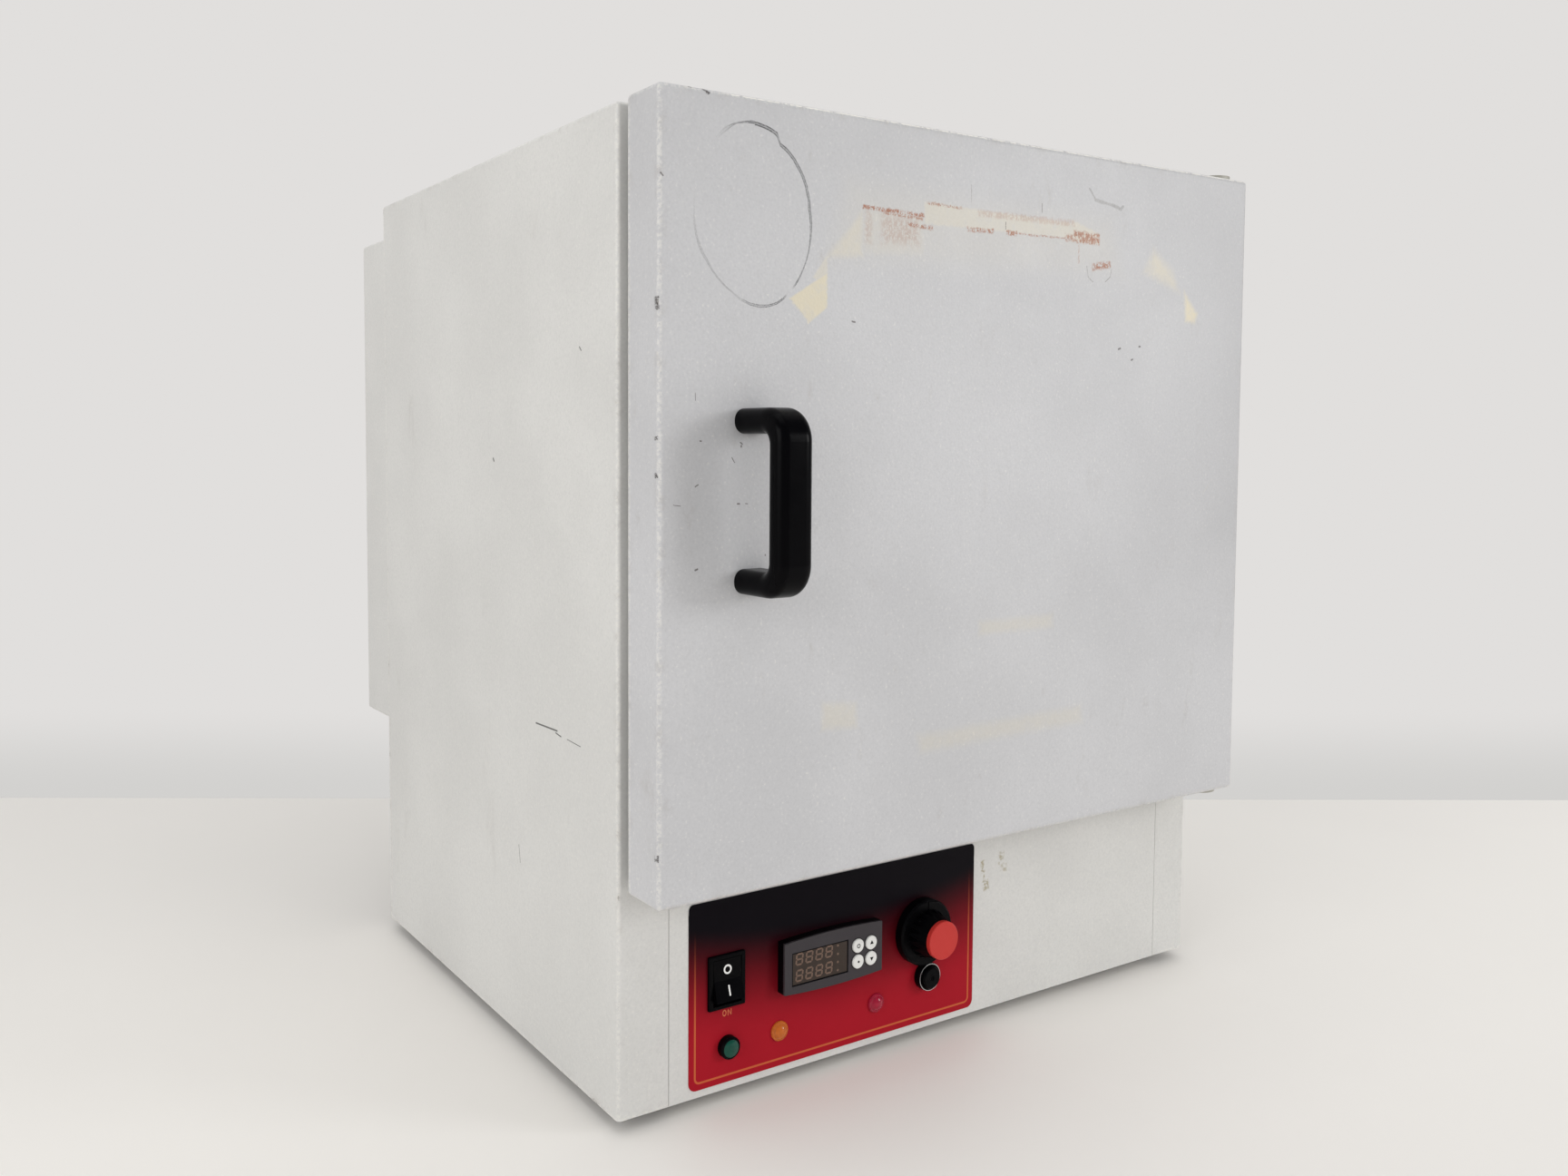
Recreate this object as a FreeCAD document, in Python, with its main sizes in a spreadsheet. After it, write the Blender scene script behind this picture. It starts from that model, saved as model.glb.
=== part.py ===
import FreeCAD, Part
import os
import re
import Sketcher

# Bench oven for hybridization bottles: a sheet steel cabinet with a side-hung door, a stainless
# chamber stirred by a fan, and a bottle rotor driven through the back wall.
# Lengths are in millimetres. X runs to the right, Y to the back and Z up. The origin lies on the
# bench, under the middle of the whole oven's box.

# Every size that can be set by itself
SIZES = {
    # cabinet shell
    "cabinet_width": 485,
    "cabinet_depth": 371,
    "cabinet_height": 560,
    "sheet_steel": 1.5,
    "bend_radius": 2.5,
    "flange_width": 33,
    "top_flange": 30,
    "seam_gap": 0.4,
    "fit_gap": 0.3,
    "running_gap": 0.1,
    "press_gap": 0.05,
    "cut_over": 2,
    # base and feet
    "base_setback": 9,
    "tray_wall": 18,
    "foot_height": 8,
    "foot_radius": 12,
    "foot_inset": 45,
    "foot_taper": 8,
    # chamber: the space that the cabinet keeps at its sides, below, above and behind
    "side_wall": 55,
    "chamber_floor": 181,
    "top_wall": 49,
    "rear_wall": 71,
    "chamber_corner": 12,
    "liner_flange": 14,
    "insulation_wall": 33,
    "frame_low": 143,
    # air system behind the baffle
    "plenum_depth": 32,
    "baffle_foot": 14,
    "baffle_slot_count": 10,
    "baffle_slot_pitch": 27,
    "baffle_slot_height": 6,
    "baffle_slot_width": 26,
    "baffle_slot_margin": 14,
    "intake_inner": 16,
    "intake_outer": 42,
    "intake_slot": 4.5,
    "guard_rim": 6,
    "intake_count": 14,
    "fan_from_top": 73,
    "fan_radius": 47,
    "fan_plate": 2,
    "fan_depth": 18,
    "fan_from_baffle": 7,
    "blade_inner": 22,
    "blade_sweep": 26,
    "blade_curve": 34,
    "blade_thickness": 1.6,
    "blade_count": 16,
    "fan_hub_radius": 9,
    "fan_shaft_radius": 4,
    "shaft_hole_gap": 3,
    "heater_radius": 60,
    "heater_tube": 3.5,
    "heater_gap_angle": 24,
    "heater_from_baffle": 16,
    # temperature sensors
    "sensor_across": 104,
    "sensor_from_top": 59,
    "sensor_reach": 30,
    "probe_radius": 3,
    "bulb_radius": 2.5,
    "gland_radius": 8,
    "gland_length": 9,
    # rear housing and drives
    "housing_inset": 11,
    "housing_depth": 83.5,
    "housing_low": 153,
    "housing_from_top": 20,
    "vent_count": 9,
    "vent_pitch": 15,
    "vent_height": 5,
    "vent_width": 118,
    "vent_rise": 28,
    "vent_across": 95,
    "motor_radius": 37,
    "motor_length": 58,
    "motor_flange": 46,
    "motor_flange_wall": 4,
    "motor_cap_radius": 22,
    "gearbox_side": 64,
    "gearbox_length": 30,
    "gear_can_radius": 24,
    "gear_can_length": 40,
    "shaft_seat": 22,
    # bottle rotor
    "rotor_front": 60,
    "rotor_from_baffle": 68,
    "disc_radius": 118,
    "disc_wall": 2,
    "bottle_pitch": 104,
    "bottle_radius": 17.5,
    "bottle_wall": 2.5,
    "bottle_start": 56,
    "bottle_from_baffle": 52,
    "cap_radius": 19,
    "cap_length": 17,
    "bottle_count": 6,
    "clip_wall": 1.2,
    "clip_width": 7,
    "clip_opening": 46,
    "window_radius": 15,
    "window_pitch": 62,
    "rod_radius": 3,
    "rod_pitch": 84,
    "axle_radius": 5,
    "axle_front": 27,
    "axle_from_baffle": 16,
    "hub_radius": 15,
    "hub_length": 9,
    "sleeve_radius": 9,
    "sleeve_length": 18,
    "sleeve_lap": 9,
    "cradle_front": 33,
    "cradle_wall": 2.5,
    "cradle_foot": 16,
    "cradle_low_width": 90,
    "cradle_top_width": 34,
    "cradle_lip": 6,
    "bush_wall": 2.5,
    "bush_overhang": 2,
    # door
    "door_side_inset": 2,
    "door_rise": 131,
    "door_above_top": 1.5,
    "door_thickness": 31.5,
    "door_gap": 8.8,
    "door_edge_radius": 3,
    "door_lip": 16,
    "gasket_inset": 6,
    "gasket_width": 12,
    "gasket_corner": 20,
    "gasket_round": 3.5,
    "field_inset": 8,
    "field_rise": 4,
    # hinges
    "hinge_across": 12,
    "hinge_forward": 20,
    "pin_radius": 4,
    "pin_length": 22,
    "bush_radius": 6.5,
    "bush_length": 18,
    "bush_head_radius": 9,
    "bush_head": 0.6,
    "bracket_steel": 3,
    "bracket_leg": 50,
    "bracket_width": 28,
    "bracket_gap": 0.9,
    # catch
    "catch_width": 10,
    "catch_height": 44,
    "catch_thickness": 5.5,
    "catch_inset": 24,
    # handle
    "handle_inset": 61,
    "handle_centre": 215.5,
    "handle_height": 100,
    "handle_reach": 41.2,
    "handle_width": 23.4,
    "handle_bar": 13.5,
    "handle_foot": 13.7,
    "handle_outer_radius": 18,
    "handle_inner_radius": 6,
    "handle_edge_radius": 6.4,
    # control panel
    "label_left": 46.4,
    "label_width": 222.7,
    "label_rise": 4.4,
    "label_height": 108,
    "label_corner": 5,
    "label_film": 0.4,
    "control_rise": 65.5,
    "lamp_rise": 26,
    # mains switch
    "switch_across": 25.5,
    "switch_width": 25.6,
    "switch_height": 32.1,
    "switch_bezel": 2,
    "switch_round": 0.8,
    "switch_body_width": 21.8,
    "switch_body_height": 29.4,
    "switch_body_depth": 24,
    "switch_wall": 1,
    "switch_well": 10,
    "rocker_side_gap": 0.4,
    "rocker_pivot": 4,
    "rocker_tip": 12,
    "rocker_tip_out": 8.2,
    "rocker_waist_out": 6.7,
    "rocker_back": 3.2,
    "rocker_back_half": 5,
    "rocker_tilt": 10,
    "rocker_pin_radius": 1.6,
    # lamps
    "mains_lamp_across": 26.6,
    "mains_lamp_radius": 6.7,
    "mains_lamp_out": 4.5,
    "mains_lens_radius": 5.2,
    "mains_lens_dome": 1,
    "small_lamp_radius": 6,
    "small_lamp_out": 1.8,
    "small_lens_radius": 4.7,
    "small_lens_dome": 2.2,
    "lens_seat": 1.4,
    "lamp_sleeve_radius": 4.9,
    "lamp_sleeve_length": 22,
    "amber_across": 64.1,
    "red_across": 139.1,
    # temperature controller
    "controller_across": 100.4,
    "controller_width": 75,
    "controller_mid_height": 34,
    "controller_side_height": 31,
    "controller_out": 7.1,
    "controller_front_wall": 1.6,
    "controller_body_width": 68,
    "controller_body_height": 28,
    "controller_body_depth": 62,
    "window_across": 26.8,
    "window_width": 42.9,
    "window_height": 20.5,
    "window_drop": 1.2,
    "window_wall": 1.2,
    "key_radius": 4.3,
    "key_out": 1.2,
    "key_travel": 0.8,
    "key_bevel": 0.4,
    "key_across": 55.4,
    "key_drop": 1.1,
    "key_pitch_across": 10.4,
    "key_pitch_up": 9.9,
    "key_gap": 0.2,
    # limit thermostat and its reset
    "knob_across": 175.9,
    "skirt_radius": 21.3,
    "skirt_top_radius": 20.1,
    "skirt_out": 7.6,
    "skirt_gap": 0.8,
    "knob_root_radius": 15.5,
    "knob_tip_radius": 12.6,
    "knob_out": 19.6,
    "knob_flute_radius": 1.7,
    "knob_flute_count": 18,
    "knob_cap_radius": 12.1,
    "knob_cap_wall": 3,
    "knob_shaft_radius": 3,
    "knob_shaft_length": 16,
    "knob_mark_width": 1.4,
    "knob_mark_depth": 0.4,
    "thermostat_width": 46,
    "thermostat_height": 38,
    "thermostat_depth": 34,
    "reset_across": 180.4,
    "reset_rise": 35,
    "reset_radius": 9,
    "reset_out": 5,
    "reset_button_radius": 7,
    "reset_button_out": 2.4,
    "reset_stem_radius": 2.6,
    "reset_sleeve_radius": 5.2,
    "reset_sleeve_length": 12,
    "reset_travel": 1.6,
    "reset_floor": 1.2,
    "dimple_radius": 1.6,
    # mains inlet in the back
    "inlet_from_side": 92.5,
    "inlet_rise": 72,
    "inlet_flange_width": 50,
    "inlet_flange_height": 25,
    "inlet_flange_wall": 2.5,
    "inlet_body_width": 28,
    "inlet_body_height": 21,
    "inlet_body_depth": 24,
    "inlet_well_width": 24.4,
    "inlet_well_height": 17,
    "inlet_well_depth": 16,
    "inlet_corner": 4,
    "blade_wide": 2,
    "blade_tall": 4,
    "blade_long": 13,
    "blade_apart": 7,
    "earth_raise": 3,
    "blade_drop": 1.2,
}

# Places that follow from the sizes, in the cabinet's own frame unless the name says otherwise
PLACES = {
    "overall_depth": "handle_reach + door_thickness + door_gap + cabinet_depth + housing_depth",
    "front_y": "handle_reach + door_thickness + door_gap - overall_depth / 2",
    "half_width": "cabinet_width / 2",
    "chamber_width": "cabinet_width - 2 * side_wall",
    "chamber_height": "cabinet_height - chamber_floor - top_wall",
    "chamber_depth": "cabinet_depth - rear_wall",
    "chamber_rise": "chamber_floor + chamber_height / 2",
    "mouth_half": "chamber_width / 2",
    "chamber_low": "chamber_floor",
    "chamber_high": "cabinet_height - top_wall",
    "liner_half": "mouth_half + sheet_steel",
    "liner_low": "chamber_low - sheet_steel",
    "liner_high": "chamber_high + sheet_steel",
    "liner_back": "chamber_depth + sheet_steel",
    "liner_front": "sheet_steel",
    "wool_half": "liner_half + insulation_wall",
    "wool_back": "liner_back + insulation_wall",
    "panel_half": "half_width - flange_width - seam_gap",
    "fan_height": "chamber_high - fan_from_top",
    "baffle_depth": "chamber_depth - plenum_depth",
    "baffle_back": "baffle_depth + sheet_steel",
    "fan_front": "baffle_back + fan_from_baffle",
    "fan_back": "fan_front + fan_depth",
    "heater_depth": "baffle_back + heater_from_baffle",
    "sensor_height": "chamber_high - sensor_from_top",
    "housing_high": "cabinet_height - housing_from_top",
    "rotor_rear": "baffle_depth - rotor_from_baffle",
    "axle_rear": "baffle_depth - axle_from_baffle",
    "bottle_length": "baffle_depth - bottle_from_baffle - bottle_start",
    "door_width": "cabinet_width - 2 * door_side_inset",
    "door_height": "cabinet_height + door_above_top - door_rise",
    "door_half": "door_width / 2",
    "hinge_x": "door_half - hinge_across",
    "door_top": "door_rise + door_height",
    "label_x": "label_left + label_width / 2 - half_width",
    "switch_x": "label_left + switch_across - half_width",
    "rocker_half": "switch_body_width / 2 - switch_wall - rocker_side_gap",
    "mains_lamp_x": "label_left + mains_lamp_across - half_width",
    "amber_x": "label_left + amber_across - half_width",
    "red_x": "label_left + red_across - half_width",
    "controller_x": "label_left + controller_across - half_width",
    "knob_x": "label_left + knob_across - half_width",
    "reset_x": "label_left + reset_across - half_width",
    "inlet_across": "half_width - inlet_from_side",
    "handle_x": "handle_inset - half_width",
    "clip_inner": "bottle_radius + press_gap",
    "clip_outer": "clip_inner + clip_wall",
    "notch_radius": "clip_outer + press_gap",
    "axle_bore": "axle_radius + press_gap",
    "cradle_bore": "axle_radius + running_gap",
    "cradle_notch": "cradle_bore + bush_wall",
    "controller_sag": "(controller_mid_height - controller_side_height) / 2",
    "controller_arc": "(controller_width ^ 2 / 4 + controller_sag ^ 2) / (2 * controller_sag)",
    "controller_face": "-label_film - controller_out",
    "controller_seat": "controller_face + controller_front_wall",
}

NEAR = 0.001
HOLLOW = "hollow"

document = FreeCAD.newDocument("bench_oven")
sheet = document.addObject("Spreadsheet::Sheet", "Sizes")
for row, (size_name, size_value) in enumerate(SIZES.items(), 1):
    sheet.set(f"A{row}", size_name)
    sheet.set(f"B{row}", str(size_value))
    sheet.setAlias(f"B{row}", size_name)
document.recompute()


def formula(text):
    """Turn a formula over size and place names into one that the document can bind to."""
    def swap(match):
        word = match.group()
        if word in PLACES:
            return "(" + formula(PLACES[word]) + ")"
        return "Sizes." + word if word in SIZES else word
    return re.sub(r"[a-z_][a-z0-9_]*", swap, text)


def number(text):
    """The present value of a formula."""
    return float(sheet.evalExpression(formula(text)))


def bind(thing, setting, text):
    thing.setExpression(setting, formula(text))


def origin_item(body, role):
    return next(item for item in body.Origin.OriginFeatures if item.Role == role)


# Bodies and their features

def new_body(label, x="0", y="0", z="0", tilt=None):
    """A named sub-part whose own origin stands at x, y, z."""
    body = document.addObject("PartDesign::Body", label)
    body.Label = label
    body.AllowCompound = True
    if tilt:
        turn = FreeCAD.Rotation(FreeCAD.Vector(1, 0, 0), number(tilt))
        body.Placement = FreeCAD.Placement(FreeCAD.Vector(), turn)
    bind(body, "Placement.Base.x", x)
    bind(body, "Placement.Base.y", y)
    bind(body, "Placement.Base.z", z)
    return body


def cabinet_body(label, x="0", z="0"):
    """A sub-part measured from the front plane and the bottom edge of the cabinet."""
    return new_body(label, x, "front_y", f"foot_height + {z}")


def door_body(label, x="0", z="0"):
    """A sub-part measured from the back face and the bottom edge of the door."""
    return new_body(label, x, "front_y - door_gap", f"foot_height + door_rise + {z}")


def control_body(label, x, z="control_rise", tilt=None):
    return new_body(label, x, "front_y", f"foot_height + {z}", tilt)


def rotor_body(label):
    """A sub-part on the rotor's axis, measured from the front plane."""
    return new_body(label, "0", "front_y", "foot_height + chamber_rise")


def fan_body(label):
    return new_body(label, "0", "front_y", "foot_height + fan_height")


def fix_point(sketch, index, end, x, y):
    """Hold one point of a sketch at two named distances from its origin."""
    for kind, text in (("DistanceX", x), ("DistanceY", y)):
        rule = sketch.addConstraint(Sketcher.Constraint(kind, -1, 1, index, end, number(text)))
        bind(sketch, f"Constraints[{rule}]", text)


def fix_radius(sketch, index, radius):
    rule = sketch.addConstraint(Sketcher.Constraint("Radius", index, number(radius)))
    bind(sketch, f"Constraints[{rule}]", radius)


def arc_between(start, end, radius, hollow):
    """The short arc from start to end: bulging outwards, or inwards when hollow."""
    chord = end - start
    rise = max(radius ** 2 - (chord.Length / 2) ** 2, 0) ** 0.5
    side = FreeCAD.Vector(-chord.y, chord.x, 0).normalize()
    centre = (start + end) / 2 + side * (-rise if hollow else rise)
    middle = centre + ((start + end) / 2 - centre).normalize() * radius
    if rise < NEAR:
        middle = centre + side * (radius if hollow else -radius)
    return Part.Arc(end, middle, start) if hollow else Part.Arc(start, middle, end)


def draw_outline(sketch, points):
    """Draw a closed outline, anticlockwise. A third item on a point is the radius of the arc
    that leaves it, and HOLLOW after that bends the arc inwards."""
    spots = [FreeCAD.Vector(number(point[0]), number(point[1]), 0) for point in points]
    starts = []
    ends = []
    for place, point in enumerate(points):
        start = spots[place]
        end = spots[(place + 1) % len(points)]
        hollow = len(point) > 3
        if len(point) > 2:
            index = sketch.addGeometry(arc_between(start, end, number(point[2]), hollow), False)
        else:
            index = sketch.addGeometry(Part.LineSegment(start, end), False)
        starts.append((index, 2 if hollow else 1))
        ends.append((index, 1 if hollow else 2))
    for place, point in enumerate(points):
        follower = starts[(place + 1) % len(points)]
        sketch.addConstraint(Sketcher.Constraint("Coincident", *ends[place], *follower))
        fix_point(sketch, *starts[place], point[0], point[1])
        if len(point) > 2:
            fix_radius(sketch, starts[place][0], point[2])


def draw_circle(sketch, x, y, radius):
    centre = FreeCAD.Vector(number(x), number(y), 0)
    shape = Part.Circle(centre, FreeCAD.Vector(0, 0, 1), number(radius))
    index = sketch.addGeometry(shape, False)
    fix_point(sketch, index, 3, x, y)
    fix_radius(sketch, index, radius)


def box(x_low, y_low, x_high, y_high):
    """A rectangle's outline."""
    return [(x_low, y_low), (x_high, y_low), (x_high, y_high), (x_low, y_high)]


def block(width, height, x="0", y="0"):
    """A rectangle about a middle point."""
    half_wide = f"({width}) / 2"
    half_tall = f"({height}) / 2"
    low = (f"{x} - {half_wide}", f"{y} - {half_tall}")
    high = (f"{x} + {half_wide}", f"{y} + {half_tall}")
    return box(*low, *high)


def rounded(x_low, y_low, x_high, y_high, radius):
    """A rectangle with round corners."""
    return [
        (f"{x_low} + {radius}", y_low),
        (f"{x_high} - {radius}", y_low, radius),
        (x_high, f"{y_low} + {radius}"),
        (x_high, f"{y_high} - {radius}", radius),
        (f"{x_high} - {radius}", y_high),
        (f"{x_low} + {radius}", y_high, radius),
        (x_low, f"{y_high} - {radius}"),
        (x_low, f"{y_low} + {radius}", radius),
    ]


def new_sketch(body, role, level, loops):
    sketch = body.newObject("Sketcher::SketchObject", "outline")
    sketch.AttachmentSupport = [(origin_item(body, role), "")]
    sketch.MapMode = "FlatFace"
    bind(sketch, ".AttachmentOffset.Base.z", level)
    for loop in loops:
        if isinstance(loop, tuple):
            draw_circle(sketch, *loop)
        else:
            draw_outline(sketch, loop)
    return sketch


def made(body, feature):
    """Hand on a feature, or say at once which one did not build."""
    if "Invalid" in feature.State or feature.Shape.isNull():
        raise RuntimeError(f"{body.Label}: {feature.Name} did not build")
    return feature


def run_feature(body, kind, role, loops, low, high):
    """Pad or pocket the loops from low to high, measured along the plane's own world axis."""
    faces_front = role == "XZ_Plane"
    level = f"-({low})" if faces_front else low
    sketch = new_sketch(body, role, level, loops)
    feature = body.newObject("PartDesign::" + kind, kind.lower())
    feature.Profile = sketch
    feature.Reversed = faces_front == (kind == "Pad")
    bind(feature, "Length", f"({high}) - ({low})")
    document.recompute()
    return made(body, feature)


def pad(body, role, loops, low, high):
    return run_feature(body, "Pad", role, loops, low, high)


def pocket(body, role, loops, low, high):
    before = body.Tip.Shape.Volume
    feature = run_feature(body, "Pocket", role, loops, low, high)
    if feature.Shape.Volume > before - NEAR:
        raise RuntimeError(body.Label + ": a pocket cuts nothing")
    return feature


def revolve(body, profile, axis="0"):
    """Turn a profile of (radius, depth) points about a line along Y, at axis on the X axis."""
    shifted = [(f"{axis} + {point[0]}", *point[1:]) for point in profile]
    sketch = new_sketch(body, "XY_Plane", "0", [shifted])
    depths = sorted((point[1] for point in profile), key=number)
    ends = [FreeCAD.Vector(number(axis), number(depth), 0) for depth in (depths[0], depths[-1])]
    line = sketch.addGeometry(Part.LineSegment(*ends), True)
    sketch.addConstraint(Sketcher.Constraint("Vertical", line))
    fix_point(sketch, line, 1, axis, depths[0])
    feature = body.newObject("PartDesign::Revolution", "revolution")
    feature.Profile = sketch
    feature.ReferenceAxis = (sketch, ["Axis0"])
    document.recompute()
    return made(body, feature)


def steps(*pairs):
    """A turned profile from (radius, depth) pairs, closed along the axis."""
    return [("0", pairs[0][1]), *pairs, ("0", pairs[-1][1])]


def polar(body, features, count):
    pattern = body.newObject("PartDesign::PolarPattern", "pattern")
    pattern.Originals = features
    pattern.Axis = (origin_item(body, "Y_Axis"), [""])
    bind(pattern, "Occurrences", count)
    body.Tip = pattern
    document.recompute()
    return made(body, pattern)


def row_of(body, features, role, length, count):
    pattern = body.newObject("PartDesign::LinearPattern", "pattern")
    pattern.Originals = features
    pattern.Direction = (origin_item(body, role), [""])
    bind(pattern, "Length", length)
    bind(pattern, "Occurrences", count)
    body.Tip = pattern
    document.recompute()
    return made(body, pattern)


# Picking edges and faces by where they lie

def at(axis, *places):
    """Things that lie wholly at one of these places along an axis."""
    values = [number(place) for place in places]

    def picks(item):
        spots = [getattr(vertex.Point, axis) for vertex in item.Vertexes]
        return any(all(abs(spot - value) < NEAR for spot in spots) for value in values)
    return picks


def along(axis):
    """Straight edges that run along an axis."""
    def picks(edge):
        if not isinstance(edge.Curve, Part.Line):
            return False
        return abs(getattr(edge.Curve.Direction, axis)) > 1 - NEAR
    return picks


def both(first, second):
    return lambda item: first(item) and second(item)


def either(first, second):
    return lambda item: first(item) or second(item)


def round_off(body, radius, picks):
    base = body.Tip
    names = [f"Edge{n}" for n, edge in enumerate(base.Shape.Edges, 1) if picks(edge)]
    feature = body.newObject("PartDesign::Fillet", "round")
    feature.Base = (base, names)
    bind(feature, "Radius", radius)
    document.recompute()
    return made(body, feature)


def hollow_out(body, wall, picks):
    """Shell the body inwards and leave the picked faces open."""
    base = body.Tip
    names = [f"Face{n}" for n, face in enumerate(base.Shape.Faces, 1)
             if isinstance(face.Surface, Part.Plane) and picks(face)]
    feature = body.newObject("PartDesign::Thickness", "shell")
    feature.Base = (base, names)
    feature.Reversed = True
    feature.Join = 0
    bind(feature, "Value", wall)
    document.recompute()
    return made(body, feature)


# Cabinet

def outer_casing():
    """Top and sides in one wrapped sheet, returned round the front and open behind."""
    body = cabinet_body("outer_casing")
    footprint = box("-half_width", "0", "half_width", "cabinet_depth")
    pad(body, "XY_Plane", [footprint], "0", "cabinet_height")
    front = both(at("y", "0"), either(along("z"), at("z", "cabinet_height")))
    shoulders = both(along("y"), at("z", "cabinet_height"))
    round_off(body, "bend_radius", either(front, shoulders))
    hollow_out(body, "sheet_steel", either(at("z", "0"), at("y", "cabinet_depth")))
    mouth = box("-half_width + flange_width", "-cut_over",
                "half_width - flange_width", "cabinet_height - top_flange")
    pocket(body, "XZ_Plane", [mouth], "-cut_over", "sheet_steel + cut_over")


def rear_panel():
    """Flat back plate set between the casing's edges, cut for the shafts, leads and inlet."""
    body = cabinet_body("rear_panel")
    edge = "sheet_steel + seam_gap"
    plate = box(f"-half_width + {edge}", "0", f"half_width - ({edge})",
                f"cabinet_height - ({edge})")
    holes = [
        ("0", "fan_height", "fan_shaft_radius + shaft_hole_gap"),
        ("0", "chamber_rise", "axle_radius + shaft_hole_gap"),
        ("sensor_across", "sensor_height", "probe_radius + fit_gap"),
        ("-sensor_across", "sensor_height", "bulb_radius + fit_gap"),
        *heater_leg_holes(),
        block("inlet_body_width + 2 * fit_gap", "inlet_body_height + 2 * fit_gap",
              "-inlet_across", "inlet_rise"),
    ]
    pad(body, "XZ_Plane", [plate, *holes], "cabinet_depth - sheet_steel", "cabinet_depth")


def heater_leg_holes():
    """Where the two heater legs pass through a wall."""
    across = "heater_radius * cos(heater_gap_angle * 1 deg)"
    up = "heater_radius * sin(heater_gap_angle * 1 deg)"
    bore = "heater_tube + fit_gap"
    return [(across, f"fan_height + {up}", bore), (across, f"fan_height - {up}", bore)]


def base_tray():
    """Folded floor pan, set back a little behind the front edge."""
    body = cabinet_body("base_tray")
    edge = "sheet_steel + seam_gap"
    floor = box(f"-half_width + {edge}", "base_setback", f"half_width - ({edge})",
                f"cabinet_depth - ({edge})")
    pad(body, "XY_Plane", [floor], "0", "tray_wall")
    round_off(body, "bend_radius", either(along("z"), at("z", "0")))
    hollow_out(body, "sheet_steel", at("z", "tray_wall"))


def rubber_feet():
    """Four tapered feet, each a solid of its own."""
    body = new_body("rubber_feet", "0", "front_y", "0")
    across = "half_width - foot_inset"
    rings = [(side, depth, "foot_radius") for side in (f"-({across})", across)
             for depth in ("foot_inset", "cabinet_depth - foot_inset")]
    feet = pad(body, "XY_Plane", rings, "0", "foot_height")
    bind(feet, "TaperAngle", "foot_taper * 1 deg")
    document.recompute()


def front_frame():
    """Plate round the chamber's mouth, flush with the casing's front returns."""
    body = cabinet_body("front_frame")
    plate = box("-panel_half", "frame_low", "panel_half", "cabinet_height - top_flange - seam_gap")
    mouth = rounded("-mouth_half", "chamber_low", "mouth_half", "chamber_high", "chamber_corner")
    pad(body, "XZ_Plane", [plate, mouth], "0", "sheet_steel")


def panel_cuts():
    """Holes for the controls, the same in the fascia and in its film."""
    return [
        block("switch_body_width + fit_gap", "switch_body_height + fit_gap",
              "switch_x", "control_rise"),
        ("mains_lamp_x", "lamp_rise", "lamp_sleeve_radius + fit_gap"),
        ("amber_x", "lamp_rise", "lamp_sleeve_radius + fit_gap"),
        ("red_x", "lamp_rise", "lamp_sleeve_radius + fit_gap"),
        block("controller_body_width + fit_gap", "controller_body_height + fit_gap",
              "controller_x", "control_rise"),
        ("knob_x", "control_rise", "knob_shaft_radius + shaft_hole_gap"),
        ("reset_x", "reset_rise", "reset_sleeve_radius + fit_gap"),
    ]


def control_fascia():
    """Panel below the door with a foot that turns back to the base tray."""
    body = cabinet_body("control_fascia")
    face = [("0", "0"), ("base_setback", "0"), ("base_setback", "sheet_steel"),
            ("sheet_steel", "sheet_steel"), ("sheet_steel", "frame_low - seam_gap"),
            ("0", "frame_low - seam_gap")]
    pad(body, "YZ_Plane", [face], "-panel_half", "panel_half")
    pocket(body, "XZ_Plane", panel_cuts(), "-cut_over", "sheet_steel + cut_over")


def control_label():
    """Printed film on the fascia."""
    body = cabinet_body("control_label")
    outline = rounded("label_x - label_width / 2", "label_rise", "label_x + label_width / 2",
                      "label_rise + label_height", "label_corner")
    pad(body, "XZ_Plane", [outline, *panel_cuts()], "-label_film", "0")


# Chamber

def chamber_liner():
    """Stainless box with an outward flange behind the front frame and bores in its back."""
    body = cabinet_body("chamber_liner")
    outer = rounded("-liner_half", "liner_low", "liner_half", "liner_high",
                    "chamber_corner + sheet_steel")
    pad(body, "XZ_Plane", [outer], "liner_front", "liner_back")
    inner = rounded("-mouth_half", "chamber_low", "mouth_half", "chamber_high", "chamber_corner")
    pocket(body, "XZ_Plane", [inner], "0", "chamber_depth")
    wide = "liner_half + liner_flange"
    rim = box(f"-({wide})", "liner_low - liner_flange", wide, "liner_high + liner_flange")
    pad(body, "XZ_Plane", [rim, inner], "liner_front", "liner_front + sheet_steel")
    pocket(body, "XZ_Plane", back_wall_holes(), "chamber_depth - cut_over", "liner_back + cut_over")


def back_wall_holes():
    return [
        ("0", "fan_height", "fan_shaft_radius + shaft_hole_gap"),
        ("0", "chamber_rise", "axle_radius + shaft_hole_gap"),
        ("sensor_across", "sensor_height", "probe_radius + fit_gap"),
        ("-sensor_across", "sensor_height", "bulb_radius + fit_gap"),
        *heater_leg_holes(),
    ]


def chamber_insulation():
    """Mineral wool packed round the liner."""
    body = cabinet_body("chamber_insulation")
    outer = box("-wool_half", "liner_low - insulation_wall", "wool_half",
                "liner_high + insulation_wall")
    front = "liner_front + sheet_steel"
    pad(body, "XZ_Plane", [outer], front, "wool_back")
    liner = rounded("-liner_half", "liner_low", "liner_half", "liner_high",
                    "chamber_corner + sheet_steel")
    pocket(body, "XZ_Plane", [liner], front, "liner_back")
    pocket(body, "XZ_Plane", back_wall_holes(), "liner_back - cut_over", "wool_back + cut_over")


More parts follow.
